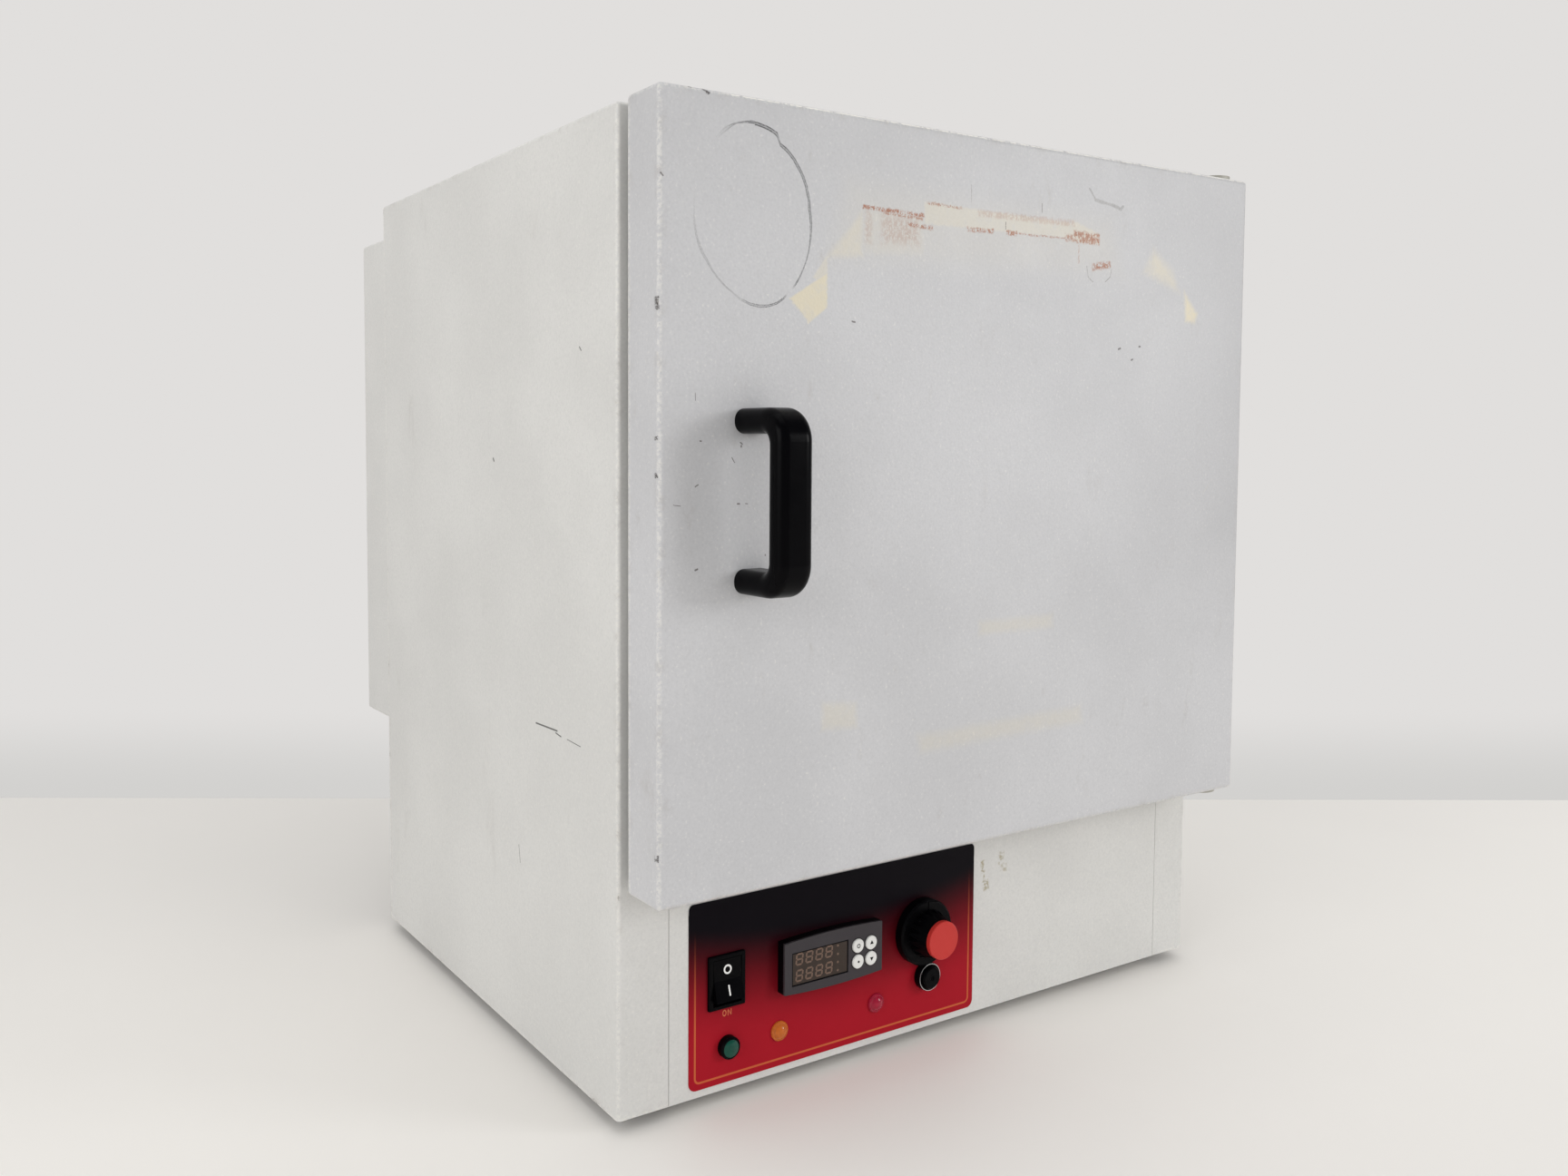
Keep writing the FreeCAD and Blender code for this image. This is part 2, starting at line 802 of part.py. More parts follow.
def air_baffle():
    """Pressed plate across the back of the chamber: air leaves at both sides and returns
    through the ring of slots in front of the fan."""
    body = cabinet_body("air_baffle")
    half = "mouth_half - fit_gap"
    plate = rounded(f"-({half})", "chamber_low", half, "chamber_high - fit_gap", "chamber_corner")
    bores = [
        ("0", "fan_height", "intake_outer"),
        ("0", "chamber_rise", "axle_radius + shaft_hole_gap"),
        ("sensor_across", "sensor_height", "probe_radius + shaft_hole_gap"),
        ("-sensor_across", "sensor_height", "bulb_radius + shaft_hole_gap"),
    ]
    pad(body, "XZ_Plane", [plate, *bores], "baffle_depth", "baffle_back")
    foot_half = f"{half} - chamber_corner"
    foot = box(f"-({foot_half})", "baffle_back", foot_half, "baffle_back + baffle_foot")
    pad(body, "XY_Plane", [foot], "chamber_low", "chamber_low + sheet_steel")
    edge = f"{half} - baffle_slot_margin"
    low = "chamber_rise - (baffle_slot_count - 1) * baffle_slot_pitch / 2"
    slot = box(f"-({edge})", f"{low} - baffle_slot_height / 2",
               f"-({edge}) + baffle_slot_width", f"{low} + baffle_slot_height / 2")
    twin = box(f"{edge} - baffle_slot_width", f"{low} - baffle_slot_height / 2",
               edge, f"{low} + baffle_slot_height / 2")
    first = pocket(body, "XZ_Plane", [slot, twin], "baffle_depth - cut_over",
                   "baffle_back + cut_over")
    row_of(body, [first], "Z_Axis", "(baffle_slot_count - 1) * baffle_slot_pitch",
           "baffle_slot_count")


def fan_guard():
    """Pressed grille over the fan's eye."""
    body = fan_body("fan_guard")
    ring = [("0", "0", "intake_outer + guard_rim")]
    pad(body, "XZ_Plane", ring, "baffle_depth - sheet_steel", "baffle_depth")
    slot = box("-intake_slot / 2", "intake_inner", "intake_slot / 2", "intake_outer")
    cut = pocket(body, "XZ_Plane", [slot], "baffle_depth - sheet_steel - cut_over",
                 "baffle_depth + cut_over")
    polar(body, [cut], "intake_count")


def heater_element():
    """Tubular element bent into a ring round the fan, with two legs out through the back."""
    legs = []
    ring = document.addObject("Part::Torus", "heater_ring")
    bind(ring, "Radius1", "heater_radius")
    bind(ring, "Radius2", "heater_tube")
    bind(ring, "Angle3", "360 deg - 2 * heater_gap_angle * 1 deg")
    turn = (FreeCAD.Rotation(FreeCAD.Vector(1, 0, 0), 90)
            * FreeCAD.Rotation(FreeCAD.Vector(0, 0, 1), number("heater_gap_angle")))
    ring.Placement = FreeCAD.Placement(FreeCAD.Vector(), turn)
    for side in ("", "-"):
        leg = document.addObject("Part::Cylinder", "heater_leg")
        bind(leg, "Radius", "heater_tube")
        bind(leg, "Height", "cabinet_depth + gland_length - heater_depth + heater_tube")
        leg.Placement = FreeCAD.Placement(
            FreeCAD.Vector(), FreeCAD.Rotation(FreeCAD.Vector(1, 0, 0), -90))
        bind(leg, "Placement.Base.x", "heater_radius * cos(heater_gap_angle * 1 deg)")
        bind(leg, "Placement.Base.y", "-heater_tube")
        bind(leg, "Placement.Base.z", f"{side}heater_radius * sin(heater_gap_angle * 1 deg)")
        legs.append(leg)
    element = document.addObject("Part::MultiFuse", "heater_element")
    element.Label = "heater_element"
    element.Shapes = [ring, *legs]
    bind(element, "Placement.Base.y", "front_y + heater_depth")
    bind(element, "Placement.Base.z", "foot_height + fan_height")
    document.recompute()


def sensor(label, across, radius):
    """A round sensor in the air stream with a gland behind the back wall."""
    body = new_body(label, across, "front_y", "foot_height + sensor_height")
    tip = "baffle_depth - sensor_reach"
    revolve(body, steps(
        (f"{radius} / 2", tip),
        (radius, f"{tip} + {radius} / 2"),
        (radius, "cabinet_depth"),
        ("gland_radius", "cabinet_depth"),
        ("gland_radius", "cabinet_depth + gland_length"),
    ))


# Rear housing and drives

def rear_housing():
    """Louvred cover over the two drives."""
    body = cabinet_body("rear_housing")
    half = "half_width - housing_inset"
    back = "cabinet_depth + housing_depth"
    outline = box(f"-({half})", "housing_low", half, "housing_high")
    pad(body, "XZ_Plane", [outline], "cabinet_depth", back)
    hollow_out(body, "sheet_steel", at("y", "cabinet_depth"))
    sides = both(along("y"), at("x", f"-({half})", half))
    round_off(body, "bend_radius", either(sides, at("y", back)))
    loops = [block("vent_width", "vent_height", side + "vent_across",
                   "housing_low + vent_rise") for side in ("-", "")]
    cut = pocket(body, "XZ_Plane", loops, f"{back} - sheet_steel - cut_over", f"{back} + cut_over")
    row_of(body, [cut], "Z_Axis", "(vent_count - 1) * vent_pitch", "vent_count")


def fan_motor():
    """Round motor on a flange, with a bore for the fan's shaft."""
    body = fan_body("fan_motor")
    bore = "fan_shaft_radius + running_gap"
    face = "cabinet_depth"
    revolve(body, [
        (bore, face),
        ("motor_flange", face),
        ("motor_flange", f"{face} + motor_flange_wall"),
        ("motor_radius", f"{face} + motor_flange_wall"),
        ("motor_radius", f"{face} + motor_length"),
        ("motor_cap_radius", f"{face} + motor_length"),
        ("motor_cap_radius", f"{face} + motor_length + motor_flange_wall"),
        ("0", f"{face} + motor_length + motor_flange_wall"),
        ("0", f"{face} + shaft_seat + fit_gap"),
        (bore, f"{face} + shaft_seat + fit_gap"),
    ])


def gearmotor():
    """Square gearbox with a round motor behind it, bored for the rotor's drive shaft."""
    body = rotor_body("gearmotor")
    face = "cabinet_depth"
    rear = f"{face} + gearbox_length"
    square = block("gearbox_side", "gearbox_side")
    pad(body, "XZ_Plane", [square], face, rear)
    round_off(body, "bend_radius", along("y"))
    pad(body, "XZ_Plane", [("0", "0", "gear_can_radius")], rear, f"{rear} + gear_can_length")
    pocket(body, "XZ_Plane", [("0", "0", "axle_radius + running_gap")], face,
           f"{face} + shaft_seat + fit_gap")


def mains_inlet():
    """Three-pin appliance inlet, with no cord in it."""
    body = cabinet_body("mains_inlet", "-inlet_across", "inlet_rise")
    outside = "cabinet_depth + inlet_flange_wall"
    flange = block("inlet_flange_width", "inlet_flange_height")
    pad(body, "XZ_Plane", [flange], "cabinet_depth", outside)
    round_off(body, "inlet_corner", along("y"))
    shell = block("inlet_body_width", "inlet_body_height")
    pad(body, "XZ_Plane", [shell], f"{outside} - inlet_body_depth", "cabinet_depth")
    well = block("inlet_well_width", "inlet_well_height")
    floor = f"{outside} - inlet_well_depth"
    pocket(body, "XZ_Plane", [well], floor, f"{outside} + cut_over")
    blades = [
        block("blade_wide", "blade_tall", "0", "earth_raise"),
        block("blade_wide", "blade_tall", "-blade_apart", "-blade_drop"),
        block("blade_wide", "blade_tall", "blade_apart", "-blade_drop"),
    ]
    pad(body, "XZ_Plane", blades, floor, f"{floor} + blade_long")


# Hinges and catch

def hinge_bracket(label, height, leg_low, leg_high, pin_low, pin_high):
    """Angle bracket: its leg is screwed to the cabinet's front and its nose carries the pin.
    The bracket's z is counted from the cabinet's bottom edge, at the tab's lower face."""
    body = cabinet_body(label, "hinge_x", height)
    nose = "hinge_across"
    wing = "bracket_width - hinge_across"
    tab = [
        ("0", f"-hinge_forward - {nose}", nose),
        (nose, "-hinge_forward"),
        (nose, "0"),
        (f"-({wing})", "0"),
        (f"-({wing})", "-hinge_forward / 2"),
        (f"-{nose}", "-hinge_forward", nose),
    ]
    pad(body, "XY_Plane", [tab], "0", "bracket_steel")
    leg = box(f"-({wing})", "-bracket_steel", nose, "0")
    pad(body, "XY_Plane", [leg], leg_low, leg_high)
    pad(body, "XY_Plane", [("0", "-hinge_forward", "pin_radius")], pin_low, pin_high)


def hinges():
    rest = "bracket_gap + bracket_steel"
    hinge_bracket("hinge_bracket_top", "door_top + bracket_gap",
                  "-bracket_leg", "bracket_steel", "-pin_length", "bracket_steel")
    hinge_bracket("hinge_bracket_bottom", f"door_rise - ({rest})",
                  "0", "bracket_leg + bracket_steel", "0", "pin_length + bracket_steel")


def hinge_bushes():
    """Flanged bushes pressed into the door above and below, running on the pins."""
    body = door_body("hinge_bushes", "hinge_x")
    spot = ("0", "-hinge_forward + door_gap")
    bore = (*spot, "pin_radius + running_gap")
    barrel = (*spot, "bush_radius")
    head = (*spot, "bush_head_radius")
    pad(body, "XY_Plane", [head, bore], "-bush_head", "0")
    pad(body, "XY_Plane", [barrel, bore], "0", "bush_length")
    pad(body, "XY_Plane", [barrel, bore], "door_height - bush_length", "door_height")
    pad(body, "XY_Plane", [head, bore], "door_height", "door_height + bush_head")


def catch_parts():
    """Magnet block on the casing's front return and the steel strike on the door."""
    magnet = cabinet_body("magnet_catch", "catch_inset - half_width", "door_rise + handle_centre")
    pad(magnet, "XZ_Plane", [block("catch_width", "catch_height")], "-catch_thickness", "0")
    round_off(magnet, "seam_gap", at("y", "-catch_thickness"))
    strike = door_body("strike_plate", "catch_inset - half_width", "handle_centre")
    pad(strike, "XZ_Plane", [block("catch_width", "catch_height")], "0",
        "door_gap - catch_thickness - fit_gap")


# Control panel

def mains_switch():
    housing = control_body("switch_housing", "switch_x")
    face = "-label_film - switch_bezel"
    bezel = block("switch_width", "switch_height")
    pad(housing, "XZ_Plane", [bezel], face, "-label_film")
    round_off(housing, "switch_round", either(along("y"), at("y", face)))
    shell = block("switch_body_width", "switch_body_height")
    pad(housing, "XZ_Plane", [shell], "-label_film", "switch_body_depth")
    well_half = "rocker_half + rocker_side_gap"
    well = box(f"-({well_half})", "-switch_body_height / 2 + switch_wall", well_half,
               "switch_body_height / 2 - switch_wall")
    pocket(housing, "XZ_Plane", [well], f"{face} - cut_over", "switch_well")
    bore = ("rocker_pivot", "0", "rocker_pin_radius + running_gap")
    pocket(housing, "YZ_Plane", [bore], "-switch_body_width / 2 - cut_over",
           "switch_body_width / 2 + cut_over")

    rocker = new_body("switch_rocker", "switch_x", "front_y + rocker_pivot",
                      "foot_height + control_rise", "-rocker_tilt")
    side = [
        ("-rocker_tip_out", "rocker_tip"),
        ("-rocker_waist_out", "0"),
        ("-rocker_tip_out", "-rocker_tip"),
        ("-rocker_back", "-rocker_tip"),
        ("rocker_back", "-rocker_back_half"),
        ("rocker_back", "rocker_back_half"),
        ("-rocker_back", "rocker_tip"),
    ]
    pad(rocker, "YZ_Plane", [side], "-rocker_half", "rocker_half")
    pad(rocker, "YZ_Plane", [("0", "0", "rocker_pin_radius")], "-switch_body_width / 2",
        "switch_body_width / 2")


def lamp(name, across, radius, out, lens_radius, dome):
    """A round bezel with its sleeve through the panel, and the lens held in its mouth."""
    face = f"-label_film - {out}"
    seat = f"{face} + lens_seat"
    ring = control_body(name + "_ring", across, "lamp_rise")
    revolve(ring, [
        ("0", seat),
        (lens_radius, seat),
        (lens_radius, face),
        (f"{radius} - switch_round", face),
        (radius, f"{face} + switch_round"),
        (radius, "-label_film"),
        ("lamp_sleeve_radius", "-label_film"),
        ("lamp_sleeve_radius", "lamp_sleeve_length"),
        ("0", "lamp_sleeve_length"),
    ])
    lens = control_body(name + "_lens", across, "lamp_rise")
    rim = f"({lens_radius} - press_gap)"
    ball = f"(({rim} ^ 2 + {dome} ^ 2) / (2 * {dome}))"
    revolve(lens, [
        ("0", f"{face} - {dome}", ball),
        (rim, face),
        (rim, seat),
        ("0", seat),
    ])


def lamps():
    lamp("mains_lamp", "mains_lamp_x", "mains_lamp_radius", "mains_lamp_out",
         "mains_lens_radius", "mains_lens_dome")
    lamp("controller_lamp", "amber_x", "small_lamp_radius", "small_lamp_out",
         "small_lens_radius", "small_lens_dome")
    lamp("overheat_lamp", "red_x", "small_lamp_radius", "small_lamp_out",
         "small_lens_radius", "small_lens_dome")


def arched(width, side_height, radius):
    """A plate's outline with upright sides and gently arched top and bottom."""
    wide = f"{width} / 2"
    tall = f"{side_height} / 2"
    return [
        (f"-{wide}", f"-{tall}", radius),
        (wide, f"-{tall}"),
        (wide, tall, radius),
        (f"-{wide}", tall),
    ]


def key_spots():
    left = "key_across"
    right = "key_across + key_pitch_across"
    upper = "key_pitch_up / 2 - key_drop"
    lower = "-key_pitch_up / 2 - key_drop"
    columns = [f"{across} - controller_width / 2" for across in (left, right)]
    return [(column, height) for height in (upper, lower) for column in columns]


def controller():
    """Panel instrument: case, arched front, smoked window and four keys that press in."""
    outline = arched("controller_width", "controller_side_height", "controller_arc")
    case = control_body("controller_case", "controller_x")
    pad(case, "XZ_Plane", [outline], "controller_seat", "-label_film")
    shell = block("controller_body_width", "controller_body_height")
    pad(case, "XZ_Plane", [shell], "-label_film", "controller_body_depth")
    wells = [(x, z, "key_radius + key_gap") for x, z in key_spots()]
    pocket(case, "XZ_Plane", wells, "controller_seat - cut_over",
           "controller_seat + key_travel + fit_gap")

    window_x = "window_across - controller_width / 2"
    front = control_body("controller_front", "controller_x")
    opening = block("window_width", "window_height", window_x, "-window_drop")
    pad(front, "XZ_Plane", [outline, opening, *wells], "controller_face", "controller_seat")

    window = control_body("display_window", "controller_x")
    pane = block("window_width - 2 * press_gap", "window_height - 2 * press_gap", window_x,
                 "-window_drop")
    pad(window, "XZ_Plane", [pane], "controller_seat - window_wall", "controller_seat")

    for place, (x, z) in enumerate(key_spots(), 1):
        key = control_body(f"key_{place}", f"controller_x + {x}", f"control_rise + {z}")
        tip = "controller_face - key_out"
        revolve(key, steps(
            ("key_radius - key_bevel", tip),
            ("key_radius", f"{tip} + key_bevel"),
            ("key_radius", "controller_seat"),
        ))


def limit_controls():
    """Over-temperature thermostat: body, knob with its cap, and the reset button."""
    thermostat = control_body("limit_thermostat", "knob_x")
    bore = "knob_shaft_radius + running_gap"
    shell = block("thermostat_width", "thermostat_height")
    pad(thermostat, "XZ_Plane", [shell], "sheet_steel", "thermostat_depth")
    round_off(thermostat, "bend_radius", along("y"))
    pocket(thermostat, "XZ_Plane", [("0", "0", bore)], "sheet_steel - cut_over",
           "knob_shaft_length + fit_gap")

    knob = control_body("limit_knob", "knob_x")
    back = "-label_film - skirt_gap"
    revolve(knob, steps(
        ("knob_tip_radius", "-knob_out"),
        ("knob_root_radius", "-skirt_out"),
        ("skirt_top_radius", "-skirt_out"),
        ("skirt_radius", "-skirt_out + skirt_radius - skirt_top_radius"),
        ("skirt_radius", back),
        ("knob_shaft_radius", back),
        ("knob_shaft_radius", "knob_shaft_length"),
    ))
    flute = ("knob_root_radius", "0", "knob_flute_radius")
    groove = pocket(knob, "XZ_Plane", [flute], "-knob_out - cut_over", "-skirt_out")
    polar(knob, [groove], "knob_flute_count")
    mark = box("-knob_mark_width / 2", "knob_root_radius", "knob_mark_width / 2",
               "skirt_radius + cut_over")
    pocket(knob, "XZ_Plane", [mark], "-skirt_out - cut_over", "-skirt_out + knob_mark_depth")

    cap = control_body("limit_knob_cap", "knob_x")
    front = "-knob_out - knob_cap_wall"
    revolve(cap, steps(
        ("knob_cap_radius - key_bevel", front),
        ("knob_cap_radius", f"{front} + key_bevel"),
        ("knob_cap_radius", "-knob_out"),
    ))

    collar = control_body("reset_collar", "reset_x", "reset_rise")
    face = "-label_film - reset_out"
    floor = "-label_film - reset_floor"
    mouth = "reset_button_radius + fit_gap"
    throat = "reset_stem_radius + running_gap"
    revolve(collar, [
        (throat, floor),
        (mouth, floor),
        (mouth, face),
        ("reset_radius - switch_round", face),
        ("reset_radius", f"{face} + switch_round"),
        ("reset_radius", "-label_film"),
        ("reset_sleeve_radius", "-label_film"),
        ("reset_sleeve_radius", "reset_sleeve_length"),
        (throat, "reset_sleeve_length"),
    ])
    button = control_body("reset_button", "reset_x", "reset_rise")
    tip = f"{face} - reset_button_out"
    head_back = f"{floor} - reset_travel - fit_gap"
    revolve(button, steps(
        ("dimple_radius / 2", f"{tip} + dimple_radius / 2"),
        ("dimple_radius", tip),
        ("reset_button_radius - switch_round", tip),
        ("reset_button_radius", f"{tip} + switch_round"),
        ("reset_button_radius", head_back),
        ("reset_stem_radius", head_back),
        ("reset_stem_radius", "reset_sleeve_length"),
    ))


# Fan and rotor

def fan_impeller():
    """Backplate with a hub and a ring of curved blades."""
    body = fan_body("fan_impeller")
    bore = ("0", "0", "fan_shaft_radius + press_gap")
    pad(body, "XZ_Plane", [("0", "0", "fan_radius"), bore], "fan_back - fan_plate", "fan_back")
    pad(body, "XZ_Plane", [("0", "0", "fan_hub_radius"), bore], "fan_front",
        "fan_back - fan_plate")
    sweep = "blade_sweep * 1 deg"
    tip = "(fan_radius - blade_thickness)"
    blade = [
        ("blade_inner", "0", "blade_curve"),
        (f"{tip} * cos({sweep})", f"{tip} * sin({sweep})"),
        (f"{tip} * cos({sweep}) - blade_thickness * sin({sweep})",
         f"{tip} * sin({sweep}) + blade_thickness * cos({sweep})",
         "blade_curve - blade_thickness", HOLLOW),
        ("blade_inner", "blade_thickness"),
    ]
    vane = pad(body, "XZ_Plane", [blade], "fan_front", "fan_back - fan_plate")
    polar(body, [vane], "blade_count")


def fan_shaft():
    body = fan_body("fan_shaft")
    pad(body, "XZ_Plane", [("0", "0", "fan_shaft_radius")], "fan_front",
        "cabinet_depth + shaft_seat")


def rotor_axle():
    """Axle with a hub for each disc; its front end rests in the cradle."""
    body = rotor_body("rotor_axle")
    front = "rotor_front + disc_wall"
    revolve(body, steps(
        ("axle_radius", "axle_front"),
        ("axle_radius", front),
        ("hub_radius", front),
        ("hub_radius", f"{front} + hub_length"),
        ("axle_radius", f"{front} + hub_length"),
        ("axle_radius", "rotor_rear - hub_length"),
        ("hub_radius", "rotor_rear - hub_length"),
        ("hub_radius", "rotor_rear"),
        ("axle_radius", "rotor_rear"),
        ("axle_radius", "axle_rear"),
    ))


def drive_shaft():
    """Gearmotor shaft with the sleeve that takes the rotor's axle."""
    body = rotor_body("drive_shaft")
    mouth = "axle_rear - sleeve_lap"
    revolve(body, [
        ("0", "axle_rear"),
        ("axle_bore", "axle_rear"),
        ("axle_bore", mouth),
        ("sleeve_radius", mouth),
        ("sleeve_radius", f"{mouth} + sleeve_length"),
        ("axle_radius", f"{mouth} + sleeve_length"),
        ("axle_radius", "cabinet_depth + shaft_seat"),
        ("0", "cabinet_depth + shaft_seat"),
    ])


def rotor_disc(label, depth):
    """Disc with a notch for each bottle, open at the rim, and a round window between."""
    body = rotor_body(label)
    far = f"{depth} + disc_wall"
    pad(body, "XZ_Plane", [("0", "0", "disc_radius"), ("0", "0", "axle_bore")], depth, far)
    notch = pocket(body, "XZ_Plane", [("bottle_pitch", "0", "notch_radius")],
                   f"{depth} - cut_over", f"{far} + cut_over")
    opening = pocket(body, "XZ_Plane", [("window_pitch", "0", "window_radius")],
                     f"{depth} - cut_over", f"{far} + cut_over")
    polar(body, [notch, opening], "bottle_count")


def rotor_tie_rods():
    """Rods that hold the two discs apart, between the bottles."""
    body = rotor_body("rotor_tie_rods")
    between = "180 deg / bottle_count"
    spot = (f"rod_pitch * cos({between})", f"rod_pitch * sin({between})", "rod_radius")
    rod = pad(body, "XZ_Plane", [spot], "rotor_front + disc_wall", "rotor_rear")
    polar(body, [rod], "bottle_count")


def bottle_clips():
    """Spring clips in the notches of both discs, open outwards."""
    body = rotor_body("bottle_clips")
    out = "cos(clip_opening * 1 deg)"
    up = "sin(clip_opening * 1 deg)"
    clip = [
        (f"bottle_pitch + clip_outer * {out}", f"clip_outer * {up}", "clip_outer"),
        ("bottle_pitch - clip_outer", "0", "clip_outer"),
        (f"bottle_pitch + clip_outer * {out}", f"-clip_outer * {up}"),
        (f"bottle_pitch + clip_inner * {out}", f"-clip_inner * {up}", "clip_inner", HOLLOW),
        ("bottle_pitch - clip_inner", "0", "clip_inner", HOLLOW),
        (f"bottle_pitch + clip_inner * {out}", f"clip_inner * {up}"),
    ]
    rings = []
    for depth in ("rotor_front", "rotor_rear"):
        middle = f"{depth} + disc_wall / 2"
        rings.append(pad(body, "XZ_Plane", [clip], f"{middle} - clip_width / 2",
                         f"{middle} + clip_width / 2"))
    polar(body, rings, "bottle_count")


def bottles():
    """Glass bottles with round ends behind and open mouths under their caps."""
    body = rotor_body("bottles")
    end = "(bottle_start + bottle_length)"
    inside = "bottle_radius - bottle_wall"
    half = "bottle_radius / 2"
    glass = revolve(body, [
        ("0", end),
        ("0", f"{end} - bottle_wall"),
        (f"{half} - bottle_wall", f"{end} - bottle_wall"),
        (inside, f"{end} - {half}"),
        (inside, "bottle_start"),
        ("bottle_radius", "bottle_start"),
        ("bottle_radius", f"{end} - {half}", half),
        (half, end),
    ], "bottle_pitch")
    polar(body, [glass], "bottle_count")


def bottle_caps():
    """Screw caps that reach over the bottles' mouths."""
    body = rotor_body("bottle_caps")
    cap = revolve(body, [
        ("0", "bottle_start - fit_gap"),
        ("0", "bottle_start - cap_length"),
        ("cap_radius - bottle_wall / 2", "bottle_start - cap_length"),
        ("cap_radius", "bottle_start - cap_length + bottle_wall / 2"),
        ("cap_radius", "bottle_start"),
        ("bottle_radius - bottle_wall", "bottle_start"),
    ], "bottle_pitch")
    polar(body, [cap], "bottle_count")


def rotor_cradle():
    """Bracket on the chamber's floor with an open notch for the axle's front end."""
    body = rotor_body("rotor_cradle")
    floor = "-chamber_height / 2"
    low = "cradle_low_width / 2"
    top = "cradle_top_width / 2"
    plate = [
        (f"-{low}", floor),
        (low, floor),
        (top, "cradle_lip"),
        ("cradle_notch", "cradle_lip"),
        ("cradle_notch", "0", "cradle_notch", HOLLOW),
        ("0", "-cradle_notch", "cradle_notch", HOLLOW),
        ("-cradle_notch", "0"),
        ("-cradle_notch", "cradle_lip"),
        (f"-{top}", "cradle_lip"),
    ]
    pad(body, "XZ_Plane", [plate], "cradle_front", "cradle_front + cradle_wall")
    foot = box(f"-{low}", "cradle_front - cradle_foot", low, "cradle_front")
    pad(body, "XY_Plane", [foot], floor, f"{floor} + cradle_wall")

    bush = rotor_body("cradle_bush")
    outer = "(cradle_notch - press_gap)"
    saddle = [
        (f"-{outer}", "0", outer),
        ("0", f"-{outer}", outer),
        (outer, "0"),
        (outer, "cradle_lip"),
        ("cradle_bore", "cradle_lip"),
        ("cradle_bore", "0", "cradle_bore", HOLLOW),
        ("0", "-cradle_bore", "cradle_bore", HOLLOW),
        ("-cradle_bore", "0"),
        ("-cradle_bore", "cradle_lip"),
        (f"-{outer}", "cradle_lip"),
    ]
    pad(bush, "XZ_Plane", [saddle], "cradle_front - bush_overhang",
        "cradle_front + cradle_wall + bush_overhang")


# Door

def door_outer_skin():
    """Deep pan with rounded edges and a lip folded in behind, drilled for the hinge bushes."""
    body = door_body("door_outer_skin")
    outline = box("-door_half", "0", "door_half", "door_height")
    pad(body, "XZ_Plane", [outline], "-door_thickness", "0")
    hollow_out(body, "sheet_steel", at("y", "0"))
    sides = both(along("y"), at("x", "-door_half", "door_half"))
    round_off(body, "door_edge_radius", either(sides, at("y", "-door_thickness")))
    rim = rounded("-door_half", "0", "door_half", "door_height", "door_edge_radius")
    inner = box("-door_half + door_lip", "door_lip", "door_half - door_lip",
                "door_height - door_lip")
    pad(body, "XZ_Plane", [rim, inner], "-sheet_steel", "0")
    bores = [("hinge_x", "door_gap - hinge_forward", "bush_radius + press_gap")]
    pocket(body, "XY_Plane", bores, "-cut_over", "door_height + cut_over")


def door_insulation():
    """Mineral wool slab that fills the pan, bored for the bushes."""
    body = door_body("door_insulation")
    edge = "sheet_steel + press_gap"
    outline = box(f"-door_half + {edge}", edge, f"door_half - ({edge})", f"door_height - ({edge})")
    pad(body, "XZ_Plane", [outline], f"-door_thickness + {edge}", "-sheet_steel")
    round_off(body, "door_edge_radius", either(along("y"), at("y", f"-door_thickness + {edge}")))
    bores = [("hinge_x", "door_gap - hinge_forward", "bush_radius + press_gap")]
    pocket(body, "XY_Plane", bores, "-cut_over", "door_height + cut_over")


def door_inner_panel():
    """Stainless back panel inside the lip, with a shallow raised field for the chamber's mouth."""
    body = door_body("door_inner_panel")
    edge = "door_lip + fit_gap"
    outline = box(f"-door_half + {edge}", edge, f"door_half - ({edge})", f"door_height - ({edge})")
    pad(body, "XZ_Plane", [outline], "-sheet_steel", "0")
    low = "chamber_low - door_rise + field_inset"
    high = "chamber_high - door_rise - field_inset"
    wide = "mouth_half - field_inset"
    field = rounded(f"-({wide})", low, wide, high, "chamber_corner")
    pad(body, "XZ_Plane", [field], "0", "field_rise")
    round_off(body, "field_rise / 2", at("y", "field_rise"))


def door_gasket():
    """Silicone frame that closes the gap to the front frame round the mouth."""
    body = door_body("door_gasket")

    def ring(grow, corner):
        return rounded(f"-mouth_half - ({grow})", f"chamber_low - door_rise - ({grow})",
                       f"mouth_half + {grow}", f"chamber_high - door_rise + {grow}", corner)
    inner = ring("gasket_inset", "gasket_corner")
    outer = ring("gasket_inset + gasket_width", "(gasket_corner + gasket_width)")
    pad(body, "XZ_Plane", [outer, inner], "0", "door_gap - fit_gap")
    round_off(body, "gasket_round", at("y", "door_gap - fit_gap"))


def door_handle():
    """Moulded bridge handle."""
    body = door_body("door_handle", "handle_x", "handle_centre")
    seat = "-door_thickness"
    front = "(-door_thickness - handle_reach)"
    tall = "(handle_height / 2)"
    inside = f"{front} + handle_bar"
    foot = f"{tall} - handle_foot"
    profile = [
        (seat, tall),
        (f"{front} + handle_outer_radius", tall, "handle_outer_radius"),
        (front, f"{tall} - handle_outer_radius"),
        (front, f"-{tall} + handle_outer_radius", "handle_outer_radius"),
        (f"{front} + handle_outer_radius", f"-{tall}"),
        (seat, f"-{tall}"),
        (seat, f"-({foot})"),
        (f"{inside} + handle_inner_radius", f"-({foot})", "handle_inner_radius", HOLLOW),
        (inside, f"-({foot}) + handle_inner_radius"),
        (inside, f"{foot} - handle_inner_radius", "handle_inner_radius", HOLLOW),
        (f"{inside} + handle_inner_radius", foot),
        (seat, foot),
    ]
    pad(body, "YZ_Plane", [profile], "-handle_width / 2", "handle_width / 2")
    seat_edge = at("y", seat)
    sides = at("x", "handle_width / 2", "-handle_width / 2")
    round_off(body, "handle_edge_radius", lambda edge: sides(edge) and not seat_edge(edge))


